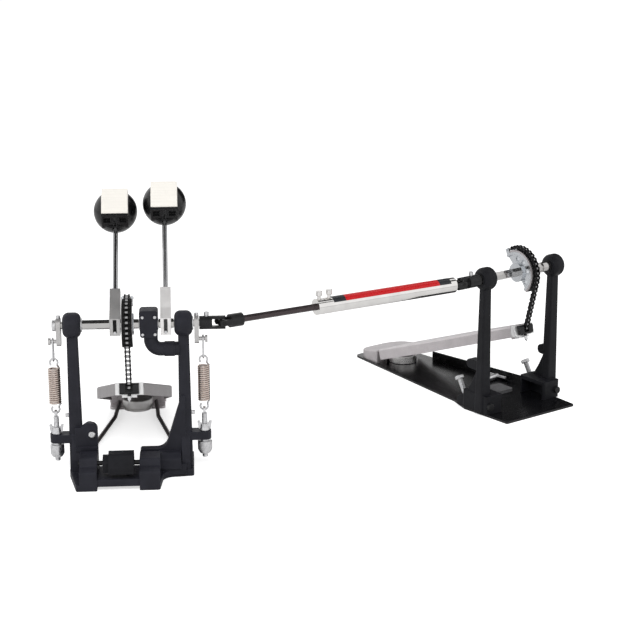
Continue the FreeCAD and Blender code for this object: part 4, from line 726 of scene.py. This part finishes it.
class PEDAL_OT_chains(bpy.types.Operator):
    """Black chain with bare rollers, and rubber under it on the cams"""

    bl_idname = "pedal.chains"
    bl_label = "Finish chains"

    def execute(self, context):
        colours, _, _ = settings(context)
        rim_share = 1.6
        black, roller = colours.black_steel, colours.roller
        rubber, metal = colours.rubber, scaled(colours.cast, rim_share)
        for pedal, origin, turn, half in (
            ("main", AXLE, 0.0, 6.2 * MM), ("slave", SLAVE_AXLE, SLAVE_TURN, 4.6 * MM),
        ):
            steel = chain_steel(pedal + "_chain", black, roller, origin, turn)
            dress(steel, pedal + "_chain_wrap", pedal + "_chain_run")
            dress(rubber_pad(pedal + "_cam_rubber", rubber, metal, origin, turn, half), pedal + "_cam_pad")
        return {"FINISHED"}


def spring_line(low, high, coil_radius, ring_radius, turns):
    """Centre line of an extension spring about Z, a direction off it, and 1 where it is coiled.

    The line is a hook, a helix and a hook. The coil is a circle that climbs steadily; each hook is most of a
    circle standing across the coil's end, reached by a cubic curve. The upper hook is the lower one turned
    half a turn about X through the middle.
    """
    coil_steps, hook_steps, link_steps = 40 * turns, 60, 26
    hook_from, hook_to = -20, 225
    rise, pull = 7.3 * MM, 9 * MM
    angle = np.linspace(0, 2 * np.pi * turns, coil_steps)
    climb = np.linspace(low, high, coil_steps)
    coil = np.stack([coil_radius * np.cos(angle), coil_radius * np.sin(angle), climb], axis=-1)
    hook_angle = np.radians(np.linspace(hook_from, hook_to, hook_steps))
    centre = high + rise
    hook = np.stack(
        [ring_radius * np.cos(hook_angle), 0 * hook_angle, centre + ring_radius * np.sin(hook_angle)], axis=-1
    )
    link = hermite(
        coil[-1], np.array([0, pull, 0]), hook[0],
        np.array([-math.sin(hook_angle[0]), 0, math.cos(hook_angle[0])]) * pull, link_steps,
    )[1:-1]
    upper = np.concatenate([link, hook])
    flip = np.array([1, -1, -1])
    lower = (upper * flip + np.array([0, 0, low + high]))[::-1]
    path = np.concatenate([lower, coil, upper])
    coiled = np.concatenate([np.zeros(len(lower)), np.ones(len(coil)), np.zeros(len(upper))])
    ease = np.linspace(0, 1, len(link))[:, None]
    up, side = np.array([0, 0, 1.0]), np.array([0, -1.0, 0])
    turn_over = (1 - ease) * up + ease * side
    upper_way = np.concatenate([turn_over, np.broadcast_to(side, hook.shape)])
    reference = np.concatenate([upper_way[::-1], np.broadcast_to(up, coil.shape), upper_way])
    return path, reference, coiled


class PEDAL_OT_springs(bpy.types.Operator):
    """Return springs: one coiled wire with a hook at each end, stretching between eye and link"""

    bl_idname = "pedal.springs"
    bl_label = "Make springs"

    def execute(self, context):
        colours, sizes, _ = settings(context)
        steel = spring_steel("spring_steel", colours.spring, colours.zinc)
        hook_drop, hook_radius, coil_fuller = 12 * MM, 4.7 * MM, 0.1 * MM
        for side in ("main", "aux"):
            node = side + "_spring"
            eye = Vector(JOINTS[side + "_spring_lean"]["pos_m"])
            bottom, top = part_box(node)
            coil_radius = (top.y - bottom.y) / 2 + coil_fuller
            low = eye.z + hook_drop
            high = top.z - (low - bottom.z)
            path, reference, coiled = spring_line(low, high, coil_radius, hook_radius, sizes.spring_turns)
            path = path + np.array([eye.x, eye.y, 0])
            rings = tube_rings(path, reference, sizes.spring_wire / 2)
            points, faces = shell(rings)
            share = np.concatenate([np.repeat(coiled, rings.shape[1]), [0.0, 0.0]])
            uv = np.stack([share, np.full_like(share, 0.5)], axis=-1)
            coil = add_piece(side + "_spring_coil", points, faces, steel, uv)
            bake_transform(coil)
            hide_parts(node)
        return {"FINISHED"}


def leaned_points(node, axes):
    """Points of a CAD node in the given axes."""
    mesh = frame["nodes"][node].data
    points = np.empty(3 * len(mesh.vertices))
    mesh.vertices.foreach_get("co", points)
    return points.reshape(-1, 3) @ axes.T


def felt_block(low, high, edge, crown):
    """Felt block between two corners, front towards -Y, and its texture coordinates.

    Each ring runs round the block in X and Z as a superellipse close to a rectangle. From the front's middle
    the rings grow to the rim, where a quarter circle rounds the edge, run back, and shrink on the rear face.
    The front falls away by the crown times the square of the height from its middle. Two sets of small sine
    waves mat it: one is a product of waves across and up the block, the other runs on a slant.
    """
    columns, edge_steps, face_steps = 128, 7, 18
    squareness, first_ring = 22, 0.02
    matting, settled = 0.1 * MM, 0.16 * MM
    wave_across, wave_up, wave_shift = 2100, 1700, 1
    slant_across, slant_up, slant_share = 3900, 2900, 0.6
    middle = (low + high) / 2
    half = (high - low) / 2
    around = np.linspace(0, 2 * np.pi, columns, endpoint=False)
    corner = 2 / squareness
    unit_x = np.sign(np.cos(around)) * np.abs(np.cos(around)) ** corner
    unit_z = np.sign(np.sin(around)) * np.abs(np.sin(around)) ** corner
    quarter = np.linspace(0, np.pi / 2, edge_steps)
    inner = np.linspace(first_ring, 1, face_steps)[:-1]
    inset = np.concatenate([
        edge + (1 - inner) * (half[0] - edge), edge * (1 - np.sin(quarter)), edge * (1 - np.cos(quarter)),
        edge + (1 - inner[::-1]) * (half[0] - edge),
    ])
    depth = np.concatenate([
        np.full(len(inner), low[1]), low[1] + edge * (1 - np.cos(quarter)),
        high[1] - edge * (1 - np.sin(quarter)), np.full(len(inner), high[1]),
    ])
    x = (half[0] - inset)[:, None] * unit_x
    z = (half[2] - inset * half[2] / half[0])[:, None] * unit_z
    front = np.clip((high[1] - depth) / (high[1] - low[1]), 0, 1)[:, None]
    crossed = np.sin(x * wave_across) * np.sin(z * wave_up + wave_shift)
    matted = matting * (crossed + slant_share * np.sin(x * slant_across + z * slant_up))
    y = depth[:, None] + front * (crown * (z / half[2]) ** 2 + matted + settled)
    rows = np.stack([x + middle[0], y, z + middle[2]], axis=-1)
    ends = np.full((2, 2), 0.5)
    uv = np.concatenate([np.stack([x / half[0], z / half[2]], axis=-1).reshape(-1, 2) / 2 + 0.5, ends])
    return rows, uv


class PEDAL_OT_felts(bpy.types.Operator):
    """Felt striking blocks and the plastic of the beater heads"""

    bl_idname = "pedal.felts"
    bl_label = "Make felts"

    def execute(self, context):
        colours, sizes, _ = settings(context)
        wool = wool_felt("ivory_felt", colours.felt)
        play = np.array([0.12, 0.0, 0.12]) * MM
        crown = 1.6 * MM
        for side in ("main", "aux"):
            node = side + "_beater_felt"
            way = Vector(JOINTS[side + "_beater_height"]["axis"])
            axes = np.array([[1, 0, 0], [0, way.z, -way.y], [0, way.y, way.z]])
            block = leaned_points(node, axes)
            rows, uv = felt_block(block.min(0) + play, block.max(0) - play, sizes.felt_edge, crown)
            points, faces = shell(rows)
            felt = add_piece(side + "_felt_block", points @ axes, faces, wool, uv)
            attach(felt, side + "_beater")
            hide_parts(node)
        dress(gloss_plastic("beater_plastic", colours.ball), "main_beater_head", "aux_beater_head")
        return {"FINISHED"}


class PEDAL_OT_label(bpy.types.Operator):
    """Plain red print with dark ends on the shaft tube"""

    bl_idname = "pedal.label"
    bl_label = "Make label"

    def execute(self, context):
        colours, sizes, _ = settings(context)
        tube_radius, sink = 10.25 * MM, 0.05 * MM
        along_steps, arc_steps = 60, 24
        arc_from, arc_to = 29, 98
        sharp = math.radians(40)
        reach = sizes.label_to - sizes.label_from
        film = printed_film(
            "label_print", colours.label, colours.label_ends,
            sizes.label_band / reach, sizes.label_far_band / reach,
        )
        along = np.linspace(sizes.label_from, sizes.label_to, along_steps)
        arc = np.radians(np.linspace(arc_from, arc_to, arc_steps))
        outer, inner = tube_radius + sizes.label_lift, tube_radius - sink
        radii = np.concatenate([np.full(len(arc), outer), np.full(len(arc), inner)])
        turn = np.concatenate([arc, arc[::-1]])
        ring = np.stack([0 * turn, -radii * np.cos(turn), radii * np.sin(turn)], axis=-1)
        rows = ring[None] + np.stack([along, 0 * along, 0 * along], axis=-1)[:, None]
        points, faces = shell(rows)
        share = np.concatenate([np.repeat((along - along[0]) / reach, len(ring)), [0.0, 1.0]])
        uv = np.stack([np.full_like(share, 0.5), share], axis=-1)
        place = Matrix.Translation(SHAFT_START) @ Matrix.Rotation(SHAFT_TURN, 4, "Z")
        label = add_piece("shaft_label", moved(points, place), faces, film, uv)
        label.data.set_sharp_from_angle(angle=sharp)
        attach(label, "shaft_tube_body")
        return {"FINISHED"}


class PEDAL_OT_threads(bpy.types.Operator):
    """Threads on the spring rods and anchor spurs, and the knurling of knob and spur heads"""

    bl_idname = "pedal.threads"
    bl_label = "Make threads and knurls"

    def execute(self, context):
        _, sizes, _ = settings(context)
        floor_under_axle = Matrix.Translation((AXLE.x, AXLE.y, 0))
        spring_x = JOINTS["aux_spring_lean"]["pos_m"][0] - AXLE.x
        rod_radius = 3.0 * MM
        nut_top, eye_low = 61.6 * MM, 74.6 * MM
        tip, knob_low = 18.3 * MM, 22.9 * MM
        knob_band = (27.6 * MM, 38.4 * MM)
        knob_radius, knob_cuts = 8.5 * MM, 18
        diamond = math.pi / (2.1 * MM)
        main_head, slave_head = (58 * MM, 47 * MM, 39 * MM), (62 * MM, 49 * MM, 42 * MM)
        grip = knurled_rows(*knob_band, knob_radius, sizes.knurl_depth, knob_cuts, diamond)
        knob = floor_under_axle @ Matrix.Translation((spring_x, 0, 0))
        self.metal("right_knob_grip", grip, knob, "main_frame")
        for name, sign in (("left", -1), ("right", 1)):
            place = floor_under_axle @ Matrix.Translation((sign * spring_x, 0, 0))
            for part, low, high in (("upper", nut_top, eye_low), ("lower", tip, knob_low)):
                rows = thread_rows(low, high, rod_radius, sizes.thread_depth, sizes.thread_pitch)
                self.metal(f"{name}_rod_thread_{part}", rows, place, "main_frame")
        self.spurs(sizes, "main", floor_under_axle, main_head, "main_frame")
        self.spurs(sizes, "slave", slave_matrix(), slave_head, "slave_frame")
        return {"FINISHED"}

    def spurs(self, sizes, pedal, place, head, body):
        """Thread and knurled head of both anchor spurs of a pedal; head is the top of the right one."""
        lean_degrees = 32
        point_down = math.radians(180 - lean_degrees)
        shank_radius, head_radius = 3.2 * MM, 5.8 * MM
        head_length, shank_end = 5.0 * MM, 34.4 * MM
        plain_edge, depth, cuts, slant = 0.9 * MM, 0.35 * MM, 20, 0
        for name, sign in (("left", -1), ("right", 1)):
            top = Matrix.Translation((sign * head[0], *head[1:])) @ Matrix.Rotation(point_down, 4, "X")
            thread = thread_rows(head_length, shank_end, shank_radius, sizes.thread_depth, sizes.thread_pitch)
            self.metal(f"{pedal}_spur_thread_{name}", thread, place @ top, body)
            knurl = knurled_rows(plain_edge, head_length - plain_edge, head_radius, depth, cuts, slant)
            self.metal(f"{pedal}_spur_knurl_{name}", knurl, place @ top, body)

    @staticmethod
    def metal(name, rows, place, body):
        """Zinc plated piece from rings about its own axis, riding on a body."""
        sharp = math.radians(50)
        points, faces = shell(rows)
        piece = add_piece(name, moved(points, place), faces, bpy.data.materials["zinc"])
        piece.data.set_sharp_from_angle(angle=sharp)
        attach(piece, body)


class PEDAL_OT_stage(bpy.types.Operator):
    """White floor, soft lights, dark cards for the metal to mirror, and the camera"""

    bl_idname = "pedal.stage"
    bl_label = "Set the stage"

    def execute(self, context):
        _, _, stage = settings(context)
        self.floor()
        self.surroundings(context.scene, stage.sky)
        target = (0, -0.1, 0.15)
        for name, place, size, power in (
            ("key", (-0.4, -1.9, 1.9), 1.3, stage.key_power),
            ("side_left", (-2.2, 0.1, 1.1), 1.0, stage.side_power),
            ("side_right", (2.0, 0.2, 1.1), 1.0, stage.side_power),
        ):
            self.lamp(name, place, target, size, power)
        overhead, overhead_height = (-1.5, 1.2), (1.5, 1.5)
        for name, x, y, z, level in (
            ("card_front", overhead, (-0.76, -0.63), overhead_height, 0.2),
            ("card_above", overhead, (-0.63, -0.3), overhead_height, 0.03),
            ("card_over_axles", overhead, (0.0, 0.5), overhead_height, 0.04),
            ("card_behind", (0.5, 4.0), (2.0, 2.0), (0.02, 2.5), 0.02),
        ):
            self.card(name, x, y, z, level)
        data = bpy.data.cameras.new("photo_camera")
        data.lens = stage.lens
        data.sensor_width = SENSOR_WIDTH
        camera = bpy.data.objects.new("photo_camera", data)
        camera.location = stage.eye
        camera.rotation_euler = (math.pi / 2 - stage.pitch, 0, -stage.yaw)
        context.scene.collection.objects.link(camera)
        context.scene.camera = camera
        context.scene.view_settings.view_transform = "Standard"
        return {"FINISHED"}

    @staticmethod
    def floor():
        """Large white sheet that glows a little towards the camera and still takes the shadow."""
        reach, glow = 9.0, 0.62
        corners = [(-reach, -reach, 0), (reach, -reach, 0), (reach, reach, 0), (-reach, reach, 0)]
        finish = Finish(
            "white_floor", Base_Color=(0.86, 0.86, 0.86, 1), Emission_Color=WHITE, Specular_IOR_Level=0.0
        )
        rays = finish.add("ShaderNodeLightPath").outputs
        seen = finish.math("MAXIMUM", rays["Is Camera Ray"], rays["Is Transmission Ray"])
        finish.feed("Emission Strength", finish.math("MULTIPLY", seen, glow))
        finish.feed("Roughness", finish.varied(0.85, 0.95, scale=6, detail=2))
        add_sheet("floor", corners, finish.material)

    @staticmethod
    def card(name, x, y, z, level):
        """Dark studio card that only reflections see; two of its sides run along X."""
        corners = [(x[0], y[0], z[0]), (x[1], y[0], z[0]), (x[1], y[1], z[1]), (x[0], y[1], z[1])]
        finish = Finish(
            name, Base_Color=BLACK, Emission_Color=WHITE, Emission_Strength=level, Specular_IOR_Level=0.0
        )
        card = add_sheet(name, corners, finish.material)
        for ray in ("camera", "diffuse", "transmission", "volume_scatter", "shadow"):
            setattr(card, "visible_" + ray, False)

    @staticmethod
    def surroundings(scene, strength):
        """White world where it is seen, and plain soft light elsewhere."""
        world = bpy.data.worlds.new("studio")
        world.use_nodes = True
        scene.world = world
        nodes, links = world.node_tree.nodes, world.node_tree.links
        rays = nodes.new("ShaderNodeLightPath").outputs
        seen = rays["Is Camera Ray"]
        for ray in ("Is Glossy Ray", "Is Transmission Ray"):
            either = nodes.new("ShaderNodeMath")
            either.operation = "MAXIMUM"
            links.new(seen, either.inputs[0])
            links.new(rays[ray], either.inputs[1])
            seen = either.outputs["Value"]
        level = nodes.new("ShaderNodeMapRange")
        level.inputs["To Min"].default_value = strength
        level.inputs["To Max"].default_value = 1.0
        links.new(seen, level.inputs["Value"])
        links.new(level.outputs["Result"], nodes["Background"].inputs["Strength"])
        nodes["Background"].inputs["Color"].default_value = WHITE

    @staticmethod
    def lamp(name, place, target, size, power):
        """Square soft light aimed at a point, too soft to be mirrored."""
        data = bpy.data.lights.new(name, "AREA")
        data.size = size
        data.energy = power
        lamp = bpy.data.objects.new(name, data)
        lamp.location = place
        aim = Vector(target) - Vector(place)
        lamp.rotation_euler = aim.to_track_quat("-Z", "Y").to_euler()
        lamp.visible_glossy = False
        bpy.context.scene.collection.objects.link(lamp)


class PEDAL_PT_panel(bpy.types.Panel):
    """Lists the operators in the sidebar"""

    bl_idname = "PEDAL_PT_panel"
    bl_label = "Drum pedal"
    bl_space_type = "VIEW_3D"
    bl_region_type = "UI"
    bl_category = "Pedal"

    def draw(self, context):
        for operator in OPERATORS:
            self.layout.operator(operator.bl_idname)


OPERATORS = (
    PEDAL_OT_castings,
    PEDAL_OT_metals,
    PEDAL_OT_chains,
    PEDAL_OT_springs,
    PEDAL_OT_felts,
    PEDAL_OT_label,
    PEDAL_OT_threads,
    PEDAL_OT_stage,
)
GROUPS = {"pedal_colours": PedalColours, "pedal_sizes": PedalSizes, "pedal_stage": PedalStage}


def register():
    for group in GROUPS.values():
        bpy.utils.register_class(group)
    for name, group in GROUPS.items():
        setattr(bpy.types.Scene, name, PointerProperty(type=group))
    for operator in OPERATORS:
        bpy.utils.register_class(operator)
    bpy.utils.register_class(PEDAL_PT_panel)


def unregister():
    bpy.utils.unregister_class(PEDAL_PT_panel)
    for operator in reversed(OPERATORS):
        bpy.utils.unregister_class(operator)
    for name, group in GROUPS.items():
        delattr(bpy.types.Scene, name)
        bpy.utils.unregister_class(group)


def main():
    register()
    bpy.ops.pedal.castings()
    bpy.ops.pedal.metals()
    bpy.ops.pedal.chains()
    bpy.ops.pedal.springs()
    bpy.ops.pedal.felts()
    bpy.ops.pedal.label()
    bpy.ops.pedal.threads()
    bpy.ops.pedal.stage()


if __name__ == "__main__":
    main()
